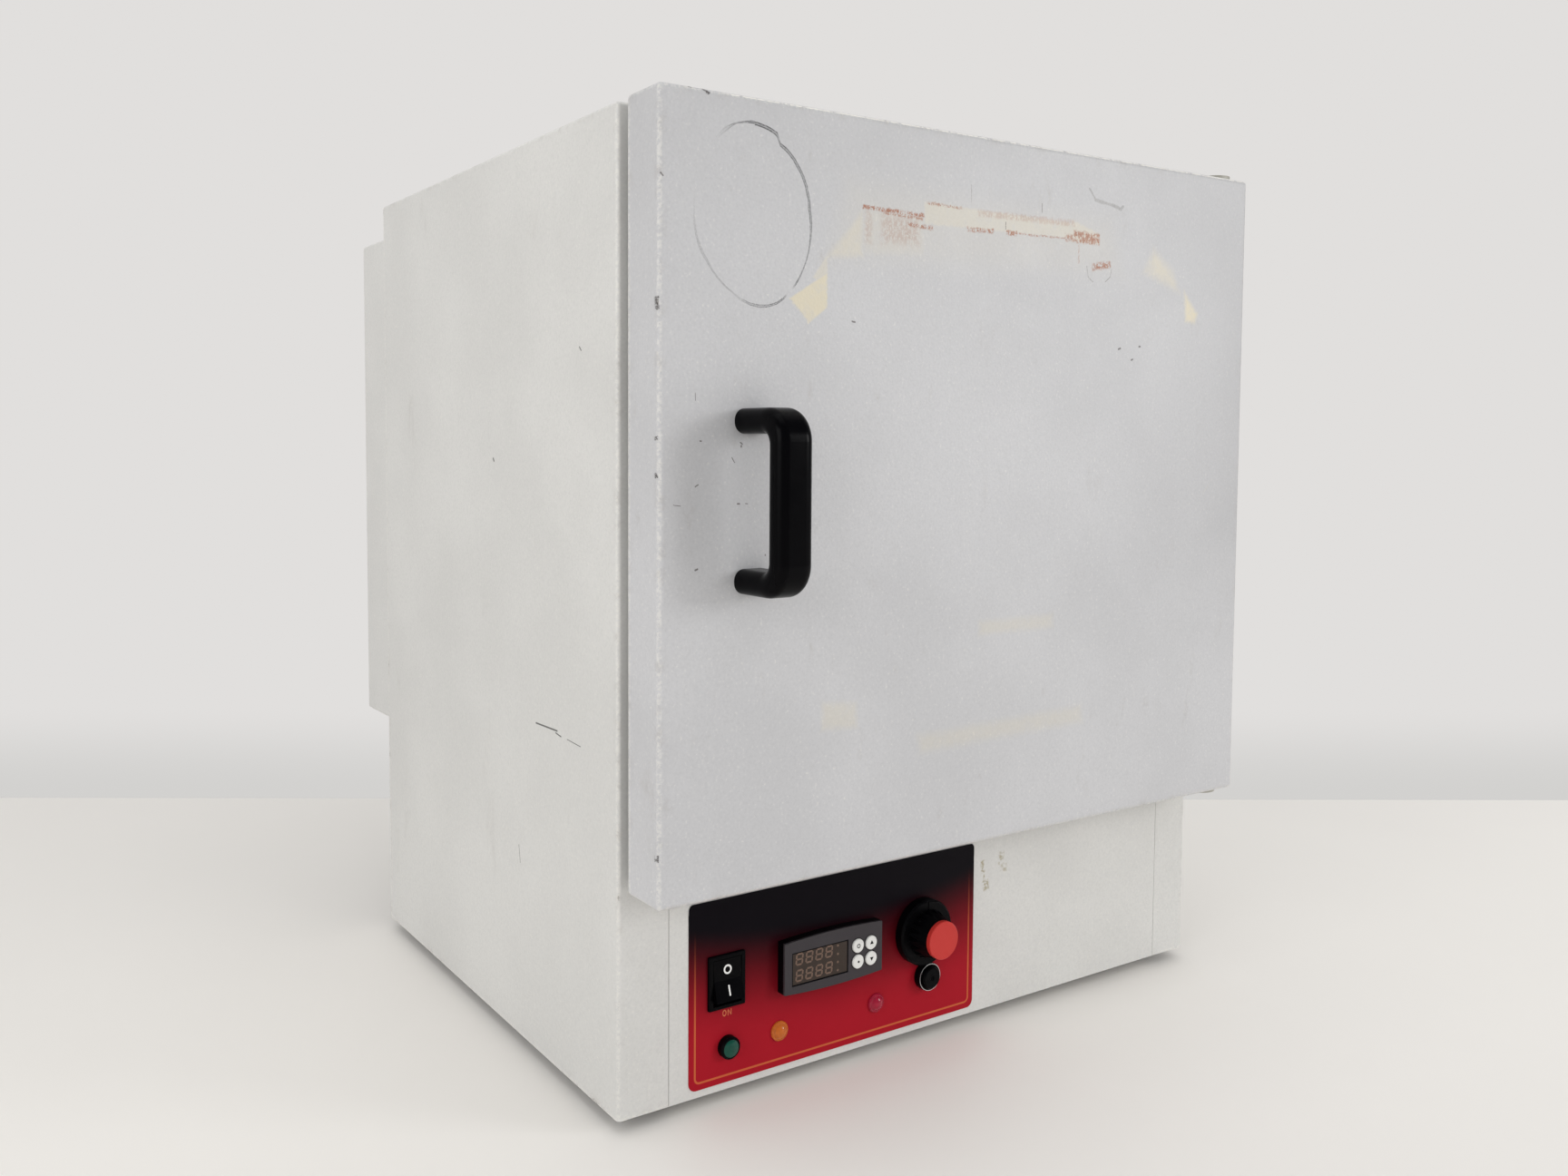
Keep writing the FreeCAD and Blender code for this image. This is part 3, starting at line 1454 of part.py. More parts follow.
MAKERS = [
    outer_casing, rear_panel, base_tray, rubber_feet, front_frame, control_fascia,
    control_label, chamber_liner, chamber_insulation, air_baffle, fan_guard, heater_element,
    rear_housing, fan_motor, gearmotor, mains_inlet, hinges, hinge_bushes, catch_parts,
    mains_switch, lamps, controller, limit_controls, fan_impeller, fan_shaft, rotor_axle,
    drive_shaft, rotor_tie_rods, bottle_clips, bottles, bottle_caps, rotor_cradle,
    door_outer_skin, door_insulation, door_inner_panel, door_gasket, door_handle,
]

for maker in MAKERS:
    maker()
sensor("temperature_probe", "sensor_across", "probe_radius")
sensor("limit_sensor", "-sensor_across", "bulb_radius")
rotor_disc("rotor_front_disc", "rotor_front")
rotor_disc("rotor_rear_disc", "rotor_rear")
document.recompute()

for item in document.Objects:
    if "Invalid" in item.State or "Error" in item.State:
        raise RuntimeError(f"{item.Label} did not build: {item.State}")

sub_parts = [item for item in document.Objects
             if item.TypeId in ("PartDesign::Body", "Part::MultiFuse")]
for item in sub_parts:
    if item.Shape.isNull() or not item.Shape.isValid() or not item.Shape.Solids:
        raise RuntimeError(item.Label + " has no valid shape")

os.makedirs("parts", exist_ok=True)
for item in sub_parts:
    item.Shape.exportStep(f"parts/{item.Label}.step")
print(len(sub_parts), "sub-parts written")
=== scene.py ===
import math

import bmesh
import bpy
from mathutils import Matrix, Vector


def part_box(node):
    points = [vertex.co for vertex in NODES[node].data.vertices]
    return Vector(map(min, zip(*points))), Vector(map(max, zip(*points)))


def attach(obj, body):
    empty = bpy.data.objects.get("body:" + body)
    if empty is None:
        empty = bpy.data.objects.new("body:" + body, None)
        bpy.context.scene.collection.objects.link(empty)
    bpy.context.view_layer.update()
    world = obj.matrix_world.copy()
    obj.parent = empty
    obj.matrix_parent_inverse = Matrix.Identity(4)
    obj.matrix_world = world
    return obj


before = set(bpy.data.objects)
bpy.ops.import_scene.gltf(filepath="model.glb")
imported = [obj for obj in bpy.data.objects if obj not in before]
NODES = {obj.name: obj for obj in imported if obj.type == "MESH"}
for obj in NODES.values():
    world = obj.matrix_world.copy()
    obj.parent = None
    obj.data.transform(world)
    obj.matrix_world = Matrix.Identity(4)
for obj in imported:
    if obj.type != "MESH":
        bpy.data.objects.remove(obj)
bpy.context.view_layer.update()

bl_info = {
    "name": "Bench Hybridization Oven",
    "version": (1, 0, 0),
    "blender": (4, 5, 0),
    "location": "3D View > Sidebar > Oven",
    "description": "Finishes, print, marks, fixings and studio for a bench oven's packed parts",
    "category": "Object",
}

# The CAD model's own box, and the places that the looks are measured from
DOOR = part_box("door_outer_skin")
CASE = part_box("outer_casing")
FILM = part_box("control_label")
MM = 0.001
FRONT = Vector((0, -1, 0))
BACK = Vector((0, 1, 0))
UP = Vector((0, 0, 1))
DOWN = Vector((0, 0, -1))
PROUD = 0.05 * MM
# Corners of a small round mark
ROUND = 32


# Settings that a user would change

def setting(name, description, default, **more):
    kind = bpy.props.FloatVectorProperty if isinstance(default, tuple) else bpy.props.FloatProperty
    return kind(name=name, description=description, default=default, **more)


def colour_setting(*values):
    return setting(*values, subtype="COLOR_GAMMA", size=3, min=0, max=1)


def length_setting(*values):
    return setting(*values, unit="LENGTH", min=0, precision=5)


def power_setting(*values):
    return setting(*values, unit="POWER", min=0)


def turn_setting(name, description, degrees):
    return setting(name, description, math.radians(degrees), unit="ROTATION")


class OvenPaint(bpy.types.PropertyGroup):
    """The powder coat, what years of use left on it, and its painted highlights."""
    cabinet: colour_setting("Cabinet", "Powder coat on the cabinet", (0.845, 0.842, 0.830))
    door: colour_setting("Door", "Powder coat on the door", (0.785, 0.785, 0.793))
    primer: colour_setting("Chips", "Bare and rusted metal in the chips", (0.22, 0.15, 0.12))
    tape: colour_setting("Tape residue", "Old adhesive", (0.85, 0.81, 0.70))
    rust: colour_setting("Brown residue", "Torn brown fibres", (0.63, 0.42, 0.31))
    marker: colour_setting("Marker", "Felt pen strokes", (0.05, 0.05, 0.06))
    grime: colour_setting("Grime", "Handling marks", (0.60, 0.57, 0.54))
    # The colour of rubbed paint, also used for painted highlights: pale specks on the pebbles and
    # pale lines along edges and the door's top bend
    wear: colour_setting("Wear", "Paint rubbed pale along the bends", (0.93, 0.92, 0.89))
    grain_size: length_setting("Grain size", "Width of one pebble of the coat", 1.6 * MM)
    grain_depth: length_setting("Grain depth", "Height of the pebbles", 0.10 * MM)
    cloud_size: length_setting("Cloud size", "Width of the uneven patches of tone", 90 * MM)
    edge_wear: length_setting("Edge wear", "How far the chips reach in from an edge", 2.6 * MM)


class OvenPrint(bpy.types.PropertyGroup):
    """The printed film on the control panel."""
    red: colour_setting("Red", "Lower part of the print", (0.655, 0.10, 0.155))
    black: colour_setting("Black", "Upper part of the print", (0.045, 0.03, 0.055))
    border: colour_setting("Border", "Thin line inside the edge", (0.80, 0.42, 0.25))
    inset: length_setting("Border inset", "From the film's edge to the line", 4.2 * MM)
    line: length_setting("Border width", "Width of the line", 1.3 * MM)
    fade_low: length_setting("Red below", "Height at which the print is all red", 26 * MM)
    fade_high: length_setting("Black above", "Height at which the print is all black", 98 * MM)
    fade_dip: length_setting("Dip", "How much lower the black reaches in the middle", 12 * MM)


class OvenTrim(bpy.types.PropertyGroup):
    """Mouldings, lenses and controls."""
    black: colour_setting("Black mouldings", "Handle, knob and switch", (0.020, 0.019, 0.026))
    case: colour_setting("Controller front", "Dark grey instrument front", (0.235, 0.22, 0.232))
    window: colour_setting("Window", "Smoked display window", (0.225, 0.185, 0.16))
    segment: colour_setting("Unlit segments", "Display segments", (0.42, 0.325, 0.27))
    key: colour_setting("Keys", "White instrument keys", (0.90, 0.90, 0.885))
    symbol: colour_setting("Symbols", "Marks on the rocker", (0.95, 0.95, 0.94))
    bright: colour_setting("Bright ring", "Plated ring round the reset button", (0.80, 0.80, 0.80))
    knob_cap: colour_setting("Knob cap", "Red cap on the limit knob", (0.76, 0.21, 0.19))
    green: colour_setting("Green lens", "Mains lamp", (0.01, 0.29, 0.23))
    amber: colour_setting("Amber lens", "Controller lamp", (0.80, 0.42, 0.15))
    red: colour_setting("Red lens", "Overheat lamp", (0.66, 0.11, 0.22))
    rubber: colour_setting("Rubber", "Feet", (0.09, 0.09, 0.09))


class OvenInside(bpy.types.PropertyGroup):
    """What the door hides."""
    stainless: colour_setting("Stainless", "Chamber sheet", (0.74, 0.74, 0.73))
    galvanised: colour_setting("Galvanised", "Rear panel and base", (0.66, 0.67, 0.68))
    aluminium: colour_setting("Aluminium", "Rotor", (0.82, 0.83, 0.84))
    wool: colour_setting("Mineral wool", "Insulation", (0.70, 0.64, 0.46))
    silicone: colour_setting("Silicone", "Door gasket", (0.66, 0.63, 0.58))
    cap: colour_setting("Bottle caps", "Screw caps", (0.14, 0.29, 0.54))
    nylon: colour_setting("Nylon", "Bushes", (0.88, 0.87, 0.82))


class OvenFixings(bpy.types.PropertyGroup):
    """Pan-head screws with a cross recess."""
    head_radius: length_setting("Head radius", "Radius of the screw's head", 3.4 * MM)
    head_height: length_setting("Head height", "Height of the screw's head", 1.7 * MM)
    seed: bpy.props.IntProperty(name="Seed", description="How the recesses are turned",
                                default=4, min=0)


class OvenStudio(bpy.types.PropertyGroup):
    """Floor, light and camera."""
    floor: colour_setting("Floor", "Bench top", (0.965, 0.952, 0.932))
    wall: colour_setting("Backdrop", "Behind the bench", (0.882, 0.874, 0.867))
    # Painted shade at the backdrop's foot: darker where it meets the bench
    foot: colour_setting("Backdrop's foot", "Where it meets the bench", (0.824, 0.820, 0.812))
    room: colour_setting("Room", "What smooth surfaces mirror in front", (0.46, 0.46, 0.49))
    ambient: setting("Ambient", "Strength of the soft light from all round", 0.64, min=0)
    key_power: power_setting("Key", "Soft light at the right", 14)
    fill_power: power_setting("Fill", "Soft light at the left", 15.5)
    top_power: power_setting("Top", "Soft light overhead", 7.5)
    camera: setting("Camera", "Where the camera stands", (-0.585, -0.8016, 0.3864),
                    subtype="TRANSLATION", unit="LENGTH")
    azimuth: turn_setting("Azimuth", "Camera's turn about the oven", -31.784)
    elevation: turn_setting("Elevation", "Camera's tilt down", 3.313)
    roll: turn_setting("Roll", "Camera's turn about its own axis", 0.092)
    lens: setting("Lens", "Focal length in millimetres", 29.86, min=1)
    bench_edge: length_setting("Bench edge", "From the oven's middle to the bench's far edge", 0.40)


# Small tools for node trees

def linear(colour, factor=1.0):
    """A colour as nodes take it: scene linear, with alpha."""
    values = [part / 12.92 if part <= 0.04045 else ((part + 0.055) / 1.055) ** 2.4
              for part in colour]
    return [*(value * factor for value in values), 1.0]


def feed(tree, socket, value):
    if isinstance(value, bpy.types.NodeSocket):
        tree.links.new(value, socket)
    else:
        socket.default_value = value


class Steps:
    """Adds nodes to a tree one by one, each fed by sockets or plain values."""

    def __init__(self, tree):
        self.tree = tree

    def step(self, kind, feeds, out=0, **settings):
        node = self.tree.nodes.new(kind)
        for setting, value in settings.items():
            setattr(node, setting, value)
        for socket, value in feeds.items():
            feed(self.tree, node.inputs[socket], value)
        return node.outputs[out]

    def calc(self, operation, *values):
        return self.step("ShaderNodeMath", dict(enumerate(values)), operation=operation)

    def times(self, *values):
        """The product of one value or more."""
        product = values[0]
        for value in values[1:]:
            product = self.calc("MULTIPLY", product, value)
        return product

    def minus(self, first, second):
        return self.calc("SUBTRACT", first, second)

    def apart(self, first, second):
        return self.calc("ABSOLUTE", self.minus(first, second))

    def vector(self, operation, *values, out=0):
        return self.step("ShaderNodeVectorMath", dict(enumerate(values)), out,
                         operation=operation)

    def dot(self, first, second):
        return self.vector("DOT_PRODUCT", first, second, out="Value")

    def length(self, vector):
        return self.vector("LENGTH", vector, out="Value")

    def fade(self, value, start, end):
        """Smooth step: 0 at start, 1 at end."""
        feeds = {"Value": value, "From Min": start, "From Max": end}
        return self.step("ShaderNodeMapRange", feeds, interpolation_type="SMOOTHSTEP")

    def between(self, value, low, high):
        """Turn 0 to 1 into low to high."""
        return self.step("ShaderNodeMapRange", {"Value": value, "To Min": low, "To Max": high})

    def graph(self, share, points):
        """Follow a graph of straight lines through points, which runs from 0 to 1."""
        node = self.tree.nodes.new("ShaderNodeFloatCurve")
        line = node.mapping.curves[0]
        line.points[0].location = points[0]
        line.points[1].location = points[-1]
        for spot in points[1:-1]:
            line.points.new(*spot)
        for point in line.points:
            point.handle_type = "VECTOR"
        node.mapping.update()
        feed(self.tree, node.inputs["Value"], share)
        return node.outputs[0]

    def mix(self, amount, first, second):
        return self.step("ShaderNodeMix", {0: amount, 6: first, 7: second}, 2, data_type="RGBA")

    def split(self, vector):
        node = self.tree.nodes.new("ShaderNodeSeparateXYZ")
        feed(self.tree, node.inputs[0], vector)
        return node.outputs[0], node.outputs[1], node.outputs[2]

    def join(self, x, y):
        return self.step("ShaderNodeCombineXYZ", {0: x, 1: y})


class Finish(Steps):
    """A procedural material on Object coordinates, whose tone is built up in layers."""

    def __init__(self, name, constants=None):
        self.material = bpy.data.materials.new(name)
        self.material.use_nodes = True
        super().__init__(self.material.node_tree)
        self.shader = self.tree.nodes["Principled BSDF"]
        self.set(constants or {})
        self.place = self.step("ShaderNodeTexCoord", {}, "Object")
        self.tone = None

    def set(self, feeds):
        for socket, value in feeds.items():
            feed(self.tree, self.shader.inputs[socket], value)

    def noise(self, size, detail=2.0, roughness=0.5, stretch=None):
        place = self.vector("MULTIPLY", self.place, stretch) if stretch else self.place
        feeds = {"Vector": place, "Scale": 1 / size, "Detail": detail, "Roughness": roughness}
        return self.step("ShaderNodeTexNoise", feeds)

    def start(self, mask, colour, low, high):
        """Begin the tone with a colour that a mask takes from low to high."""
        self.tone = self.mix(mask, linear(colour, low), linear(colour, high))

    def cover(self, colour, *masks):
        """Lay a colour over the tone so far, where the product of the masks is."""
        self.tone = self.mix(self.times(*masks), self.tone, colour)

    def bump(self, height, depth):
        feeds = {"Height": height, "Distance": depth, "Strength": 1.0}
        self.set({"Normal": self.step("ShaderNodeBump", feeds)})

    def done(self, **feeds):
        """Give the shader its tone and what else is named, and hand back the material."""
        self.set({"Base Color": self.tone, **feeds})
        return self.material


def node_group(name, family, sockets, result, build):
    """A node group with named inputs, whose one output build makes from them."""
    tree = bpy.data.node_groups.new(name, family)
    for socket, kind in sockets.items():
        tree.interface.new_socket(socket, in_out="INPUT", socket_type="NodeSocket" + kind)
    tree.interface.new_socket("Result", in_out="OUTPUT", socket_type="NodeSocket" + result)
    entry = tree.nodes.new("NodeGroupInput").outputs
    leave = tree.nodes.new("NodeGroupOutput").inputs
    tree.links.new(build(Steps(tree), entry), leave["Result"])
    return tree


# Marks: node groups that turn a place into a mask from 0 to 1

CORNERS = ("First", "Second", "Third", "Fourth")
# What a loop's graphs run up to, in millimetres
LOOP_REACH = 100
LOOP_WIDTH = 4


def soft_edge(steps, past, softness):
    """1 where past is below 0, and 0 where it is above."""
    return steps.fade(past, softness, steps.times(softness, -1.0))


def stroke_steps(steps, entry):
    """Nearness to the straight line from Start to End."""
    along = steps.vector("SUBTRACT", entry["End"], entry["Start"])
    reach = steps.vector("SUBTRACT", entry["Place"], entry["Start"])
    share = steps.step("ShaderNodeMath", {0: steps.dot(reach, along), 1: steps.dot(along, along)},
                       operation="DIVIDE", use_clamp=True)
    foot = steps.step("ShaderNodeVectorMath", {"Vector": along, "Scale": share},
                      operation="SCALE")
    gap = steps.length(steps.vector("SUBTRACT", reach, foot))
    half = steps.times(entry["Width"], 0.5)
    return steps.fade(gap, steps.times(half, 1.3), steps.times(half, 0.5))


def patch_steps(steps, entry):
    """Inside of a turned rectangle with soft edges."""
    reach = steps.vector("SUBTRACT", entry["Place"], entry["Centre"])
    turned = steps.step("ShaderNodeVectorRotate", {"Vector": reach, "Angle": entry["Angle"]},
                        rotation_type="Z_AXIS")
    past = steps.vector("SUBTRACT", steps.vector("ABSOLUTE", turned), entry["Half size"])
    across, up, _ = steps.split(past)
    return soft_edge(steps, steps.calc("MAXIMUM", across, up), entry["Softness"])


def sheet_steps(steps, entry):
    """Inside of a four-cornered shape, whose corners run anticlockwise, with soft edges."""
    past = None
    for name, follow in zip(CORNERS, CORNERS[1:] + CORNERS[:1]):
        along = steps.vector("NORMALIZE", steps.vector("SUBTRACT", entry[follow], entry[name]))
        outward = steps.vector("CROSS_PRODUCT", along, (0, 0, 1))
        gap = steps.dot(steps.vector("SUBTRACT", entry["Place"], entry[name]), outward)
        past = gap if past is None else steps.calc("MAXIMUM", past, gap)
    return soft_edge(steps, past, entry["Softness"])


MARKS = {
    "Stroke": (stroke_steps, {"Start": "Vector", "End": "Vector", "Width": "Float"}),
    "Patch": (patch_steps, {"Centre": "Vector", "Half size": "Vector", "Angle": "Float",
                            "Softness": "Float"}),
    "Sheet": (sheet_steps, {"Softness": "Float", **dict.fromkeys(CORNERS, "Vector")}),
}


def marks(finish, kind, place, rows):
    """All of several marks as one mask. A row is what feeds the mark's group and, where it has
    one, its strength. The group is made once."""
    if kind not in bpy.data.node_groups:
        build, sockets = MARKS[kind]
        node_group(kind, "ShaderNodeTree", {"Place": "Vector", **sockets}, "Float", build)
    mask = 0.0
    for feeds, *strength in rows:
        mark = finish.step("ShaderNodeGroup", {"Place": place, **feeds},
                           node_tree=bpy.data.node_groups[kind])
        mask = finish.calc("MAXIMUM", mask, finish.times(mark, *strength))
    return mask


def flat(x, y):
    """A point on a face, from millimetres."""
    return Vector((x * MM, y * MM, 0))


def line_feeds(x, y, end_x, end_y, width):
    return {"Start": flat(x, y), "End": flat(end_x, end_y), "Width": width * MM}


def strokes(finish, place, lines):
    """Lines as one mask. A line is x, y to x, y and a width, in millimetres."""
    return marks(finish, "Stroke", place, [(line_feeds(*line),) for line in lines])


def trail(finish, place, points):
    """A drawn line through points as a mask. A point is x, y, and the width and strength of
    the line that leaves it; a strength of 0 lifts the pen."""
    return marks(finish, "Stroke", place, [
        (line_feeds(x, y, *follow[:2], width), strength)
        for (x, y, width, strength), follow in zip(points, points[1:]) if strength])


def patches(finish, place, areas):
    """Areas as one mask. An area is its middle, its size, its turn in degrees, its softness
    and its strength."""
    return marks(finish, "Patch", place, [
        ({"Centre": flat(x, y), "Half size": flat(width / 2, height / 2),
          "Angle": math.radians(-turn), "Softness": softness * MM}, strength)
        for x, y, width, height, turn, softness, strength in areas])


def sheets(finish, place, shapes):
    """Four-cornered shapes as one mask. A shape is its corners, anticlockwise, its softness
    and its strength."""
    return marks(finish, "Sheet", place, [
        ({"Softness": softness * MM, **{name: flat(*spot) for name, spot in zip(CORNERS, spots)}},
         strength) for *spots, softness, strength in shapes])


def loop(finish, place, centre, points):
    """A drawn line once round a centre as a mask. A point is x, y, width and strength. The
    line's reach, width and strength follow three graphs of the angle."""
    spots = sorted((math.atan2(x - centre[0], y - centre[1]) / math.tau % 1.0,
                    math.hypot(x - centre[0], y - centre[1]) / LOOP_REACH,
                    width / LOOP_WIDTH, strength) for x, y, width, strength in points)
    across, up, _ = finish.split(finish.vector("SUBTRACT", place, flat(*centre)))
    angle = finish.calc("ARCTAN2", across, up)
    turn = finish.calc("FRACT", finish.calc("DIVIDE", angle, math.tau))
    radius, width, strength = (
        finish.graph(turn, [(0.0, spots[0][kind])] + [(spot[0], spot[kind]) for spot in spots]
                     + [(1.0, spots[-1][kind])]) for kind in (1, 2, 3))
    away = finish.apart(finish.length(finish.join(across, up)),
                        finish.times(radius, LOOP_REACH * MM))
    half = finish.times(width, LOOP_WIDTH * MM / 2)
    line = finish.fade(away, finish.times(half, 1.2), finish.times(half, 0.8))
    pooled = finish.fade(away, 0.0, finish.times(half, 0.7))
    return finish.times(line, finish.between(pooled, 0.45, 1.0), strength)


# Finishes

def powder_coat(name, colour):
    """Satin powder coat with a pebbled skin, whose paler specks are painted glints."""
    paint = bpy.context.scene.oven_paint
    coat = Finish(name, {"Specular IOR Level": 0.42})
    cloud = coat.noise(paint.cloud_size, 4)
    coat.start(coat.fade(cloud, 0.32, 0.68), colour, 0.955, 1.02)
    grain = coat.noise(paint.grain_size, 3, 0.6)
    coat.cover(linear(colour, 0.74), coat.fade(grain, 0.56, 0.30), 0.22)
    # Pale specks on the pebbles: painted glints
    coat.cover(linear(paint.wear), coat.fade(grain, 0.60, 0.74), 0.35)
    gloss = coat.noise(paint.cloud_size / 4, 3)
    coat.set({"Roughness": coat.between(gloss, 0.34, 0.48)})
    coat.bump(grain, paint.grain_depth)
    return coat


def edge_chips(coat, box, reach_share=1.0):
    """Chips, darker patches and rubbed paint with a painted highlight along a box's edges."""
    paint = bpy.context.scene.oven_paint
    gaps = [coat.calc("MINIMUM", coat.apart(spot, low), coat.apart(spot, high))
            for spot, low, high in zip(coat.split(coat.place), *box)]
    edges = [coat.calc("MAXIMUM", gaps[first], gaps[second])
             for first, second in ((0, 1), (0, 2), (1, 2))]
    edge = coat.calc("MINIMUM", coat.calc("MINIMUM", edges[0], edges[1]), edges[2])
    reach = paint.edge_wear * reach_share
    breaks = coat.noise(14 * MM, 6, 0.7)
    fine = coat.noise(2.2 * MM, 5, 0.75)
    # Pale rubbed paint along the edges, which is also a painted highlight
    coat.cover(linear(paint.wear), coat.fade(edge, reach * 1.1, reach * 0.5),
               coat.fade(fine, 0.44, 0.58), 0.42)
    # Darker in broken patches near every edge
    coat.cover(linear(paint.grime), coat.fade(edge, reach * 3, 0.0),
               coat.fade(breaks, 0.50, 0.66), 0.22)
    coat.cover(linear(paint.primer), coat.fade(edge, reach, reach * 0.2),
               coat.fade(breaks, 0.60, 0.66), coat.fade(fine, 0.50, 0.58), 0.7)


def metal(name, colour, rough=(0.25, 0.38), brushed=None):
    """Bare sheet or turned metal. Brushed gives the stretch of its fine lines."""
    sheet = Finish(name, {"Metallic": 1.0})
    fine = sheet.noise(1.2 * MM, 3, stretch=brushed)
    sheet.start(sheet.noise(60 * MM, 4), colour, 0.86, 1.04)
    sheet.cover(linear(colour, 0.7), fine, 0.25)
    sheet.bump(fine, 0.012 * MM)
    return sheet.done(Roughness=sheet.between(fine, *rough))


def galvanised(name, colour):
    """Zinc with its crystal flakes."""
    sheet = Finish(name, {"Metallic": 0.85})
    cells = sheet.step("ShaderNodeTexVoronoi", {"Vector": sheet.place, "Scale": 1 / (9 * MM)},
                       "Color")
    flakes = sheet.step("ShaderNodeSeparateColor", {0: cells})
    sheet.start(flakes, colour, 0.80, 1.06)
    sheet.cover(linear(colour, 0.72), sheet.noise(70 * MM, 4), 0.4)
    sheet.bump(flakes, 0.01 * MM)
    return sheet.done(Roughness=sheet.between(flakes, 0.34, 0.52))


def plastic(name, colour, rough=(0.30, 0.42), grain=0.6 * MM, depth=0.01 * MM, constants=None):
    """Moulded plastic or rubber with a faint skin."""
    mould = Finish(name, constants)
    mould.start(mould.noise(25 * MM, 4), colour, 0.90, 1.06)
    mould.bump(mould.noise(grain), depth)
    return mould.done(Roughness=mould.between(mould.noise(12 * MM, 5, 0.65), *rough))


def lens(name, colour):
    """Tinted moulded lens, unlit."""
    glass = Finish(name, {"Transmission Weight": 0.1, "Specular IOR Level": 0.3})
    cloud = glass.noise(2.5 * MM)
    glass.start(cloud, colour, 0.7, 1.25)
    return glass.done(Roughness=glass.between(cloud, 0.12, 0.22))


# Finishes that several pieces share: the maker, a colour or the setting that holds it, and
# what differs from the maker's own values. Blacks mirror little, so that they stay black.
DULL = {"Specular IOR Level": 0.05}
FAINT = {"Specular IOR Level": 0.2}
STOCK = {
    "satin_black": (plastic, "oven_trim.black", {"constants": DULL}),
    "gloss_black": (plastic, "oven_trim.black", {"constants": DULL, "rough": (0.16, 0.30),
                                                 "grain": 3 * MM, "depth": 0.02 * MM}),
    "foot_rubber": (plastic, "oven_trim.rubber", {"rough": (0.6, 0.8), "depth": 0.03 * MM}),
    "symbol_white": (plastic, "oven_trim.symbol", {}),
    "key_white": (plastic, "oven_trim.key", {}),
    "unlit_segment": (plastic, "oven_trim.segment", {"rough": (0.2, 0.3)}),
    "controller_grey": (plastic, "oven_trim.case", {"rough": (0.34, 0.46), "constants": FAINT}),
    "smoked_window": (plastic, "oven_trim.window", {"rough": (0.10, 0.18), "depth": 0.002 * MM,
                                                    "constants": FAINT}),
    "knob_red": (plastic, "oven_trim.knob_cap", {"rough": (0.30, 0.42), "constants": FAINT}),
    "plated": (metal, "oven_trim.bright", {}),
    "print_gold": (plastic, "oven_print.border", {}),
    "galvanised": (galvanised, "oven_inside.galvanised", {}),
    "brushed_stainless": (metal, "oven_inside.stainless", {"brushed": (0.04, 1, 1)}),
    "bright_stainless": (metal, "oven_inside.stainless", {"rough": (0.15, 0.25)}),
    "mineral_wool": (plastic, "oven_inside.wool", {"rough": (0.85, 0.95), "grain": 2.5 * MM,
                                                   "depth": 0.8 * MM}),
    "silicone": (plastic, "oven_inside.silicone", {"rough": (0.45, 0.6)}),
    "nylon": (plastic, "oven_inside.nylon", {}),
    "cap_plastic": (plastic, "oven_inside.cap", {"rough": (0.35, 0.5)}),
    "fan_aluminium": (metal, "oven_inside.aluminium", {"rough": (0.3, 0.45)}),
    "anodised": (metal, "oven_inside.aluminium", {"rough": (0.32, 0.44)}),
    "heater_sheath": (metal, (0.42, 0.38, 0.36), {"rough": (0.4, 0.6)}),
    "motor_paint": (plastic, (0.22, 0.23, 0.24), {"rough": (0.4, 0.55)}),
    "gear_case": (metal, (0.50, 0.51, 0.52), {"rough": (0.45, 0.6)}),
    "spring_steel": (metal, (0.60, 0.61, 0.63), {"rough": (0.18, 0.3)}),
    "screw_zinc": (metal, (0.60, 0.60, 0.58), {"rough": (0.42, 0.55)}),
    "zinc_plate": (metal, (0.70, 0.70, 0.67), {}),
    "bracket_zinc": (plastic, (0.70, 0.69, 0.65), {"rough": (0.5, 0.65),
                                                   "constants": {"Metallic": 0.3}}),
}


def stock(name):
    """A finish of the table, made once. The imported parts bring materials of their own, so the
    name gets a prefix."""
    full = "oven_" + name
    if full in bpy.data.materials:
        return bpy.data.materials[full]
    make, colour, more = STOCK[name]
    if isinstance(colour, str):
        group, entry = colour.split(".")
        colour = getattr(getattr(bpy.context.scene, group), entry)
    return make(full, colour, **more)


def dress(finish, *nodes):
    """Put a material, or the finish of that name in the table, on CAD nodes."""
    material = stock(finish) if isinstance(finish, str) else finish
    for node in nodes:
        slots = NODES[node].data.materials
        slots.clear()
        slots.append(material)


# Small tools for meshes

def upright(origin, facing):
    """A matrix whose Z axis looks along facing and whose Y axis leans up."""
    z_axis = Vector(facing).normalized()
    x_axis = UP.cross(z_axis).normalized()
    y_axis = z_axis.cross(x_axis)
    turn = Matrix((x_axis, y_axis, z_axis)).transposed().to_4x4()
    return Matrix.Translation(origin) @ turn


def circle(radius, count, start=0.0):
    turns = [start + math.tau * step / count for step in range(count)]
    return [(radius * math.cos(turn), radius * math.sin(turn)) for turn in turns]


def add_prism(mesh, outline, height, place, hole=None):
    """Raise a flat outline by height along the Z axis of place. A hole has as many points."""
    def row(points, level):
        return [mesh.verts.new(place @ Vector((x, y, level))) for x, y in points]
    low = row(outline, 0)
    top = row(outline, height)
    count = len(outline)
    if hole is None:
        mesh.faces.new(top)
        mesh.faces.new(low[::-1])
    else:
        low_hole = row(hole, 0)
        top_hole = row(hole, height)
    for step in range(count):
        follow = (step + 1) % count
        mesh.faces.new((low[step], low[follow], top[follow], top[step]))
        if hole is not None:
            mesh.faces.new((low_hole[follow], low_hole[step], top_hole[step], top_hole[follow]))
            mesh.faces.new((top[step], top[follow], top_hole[follow], top_hole[step]))
            mesh.faces.new((low[follow], low[step], low_hole[step], low_hole[follow]))


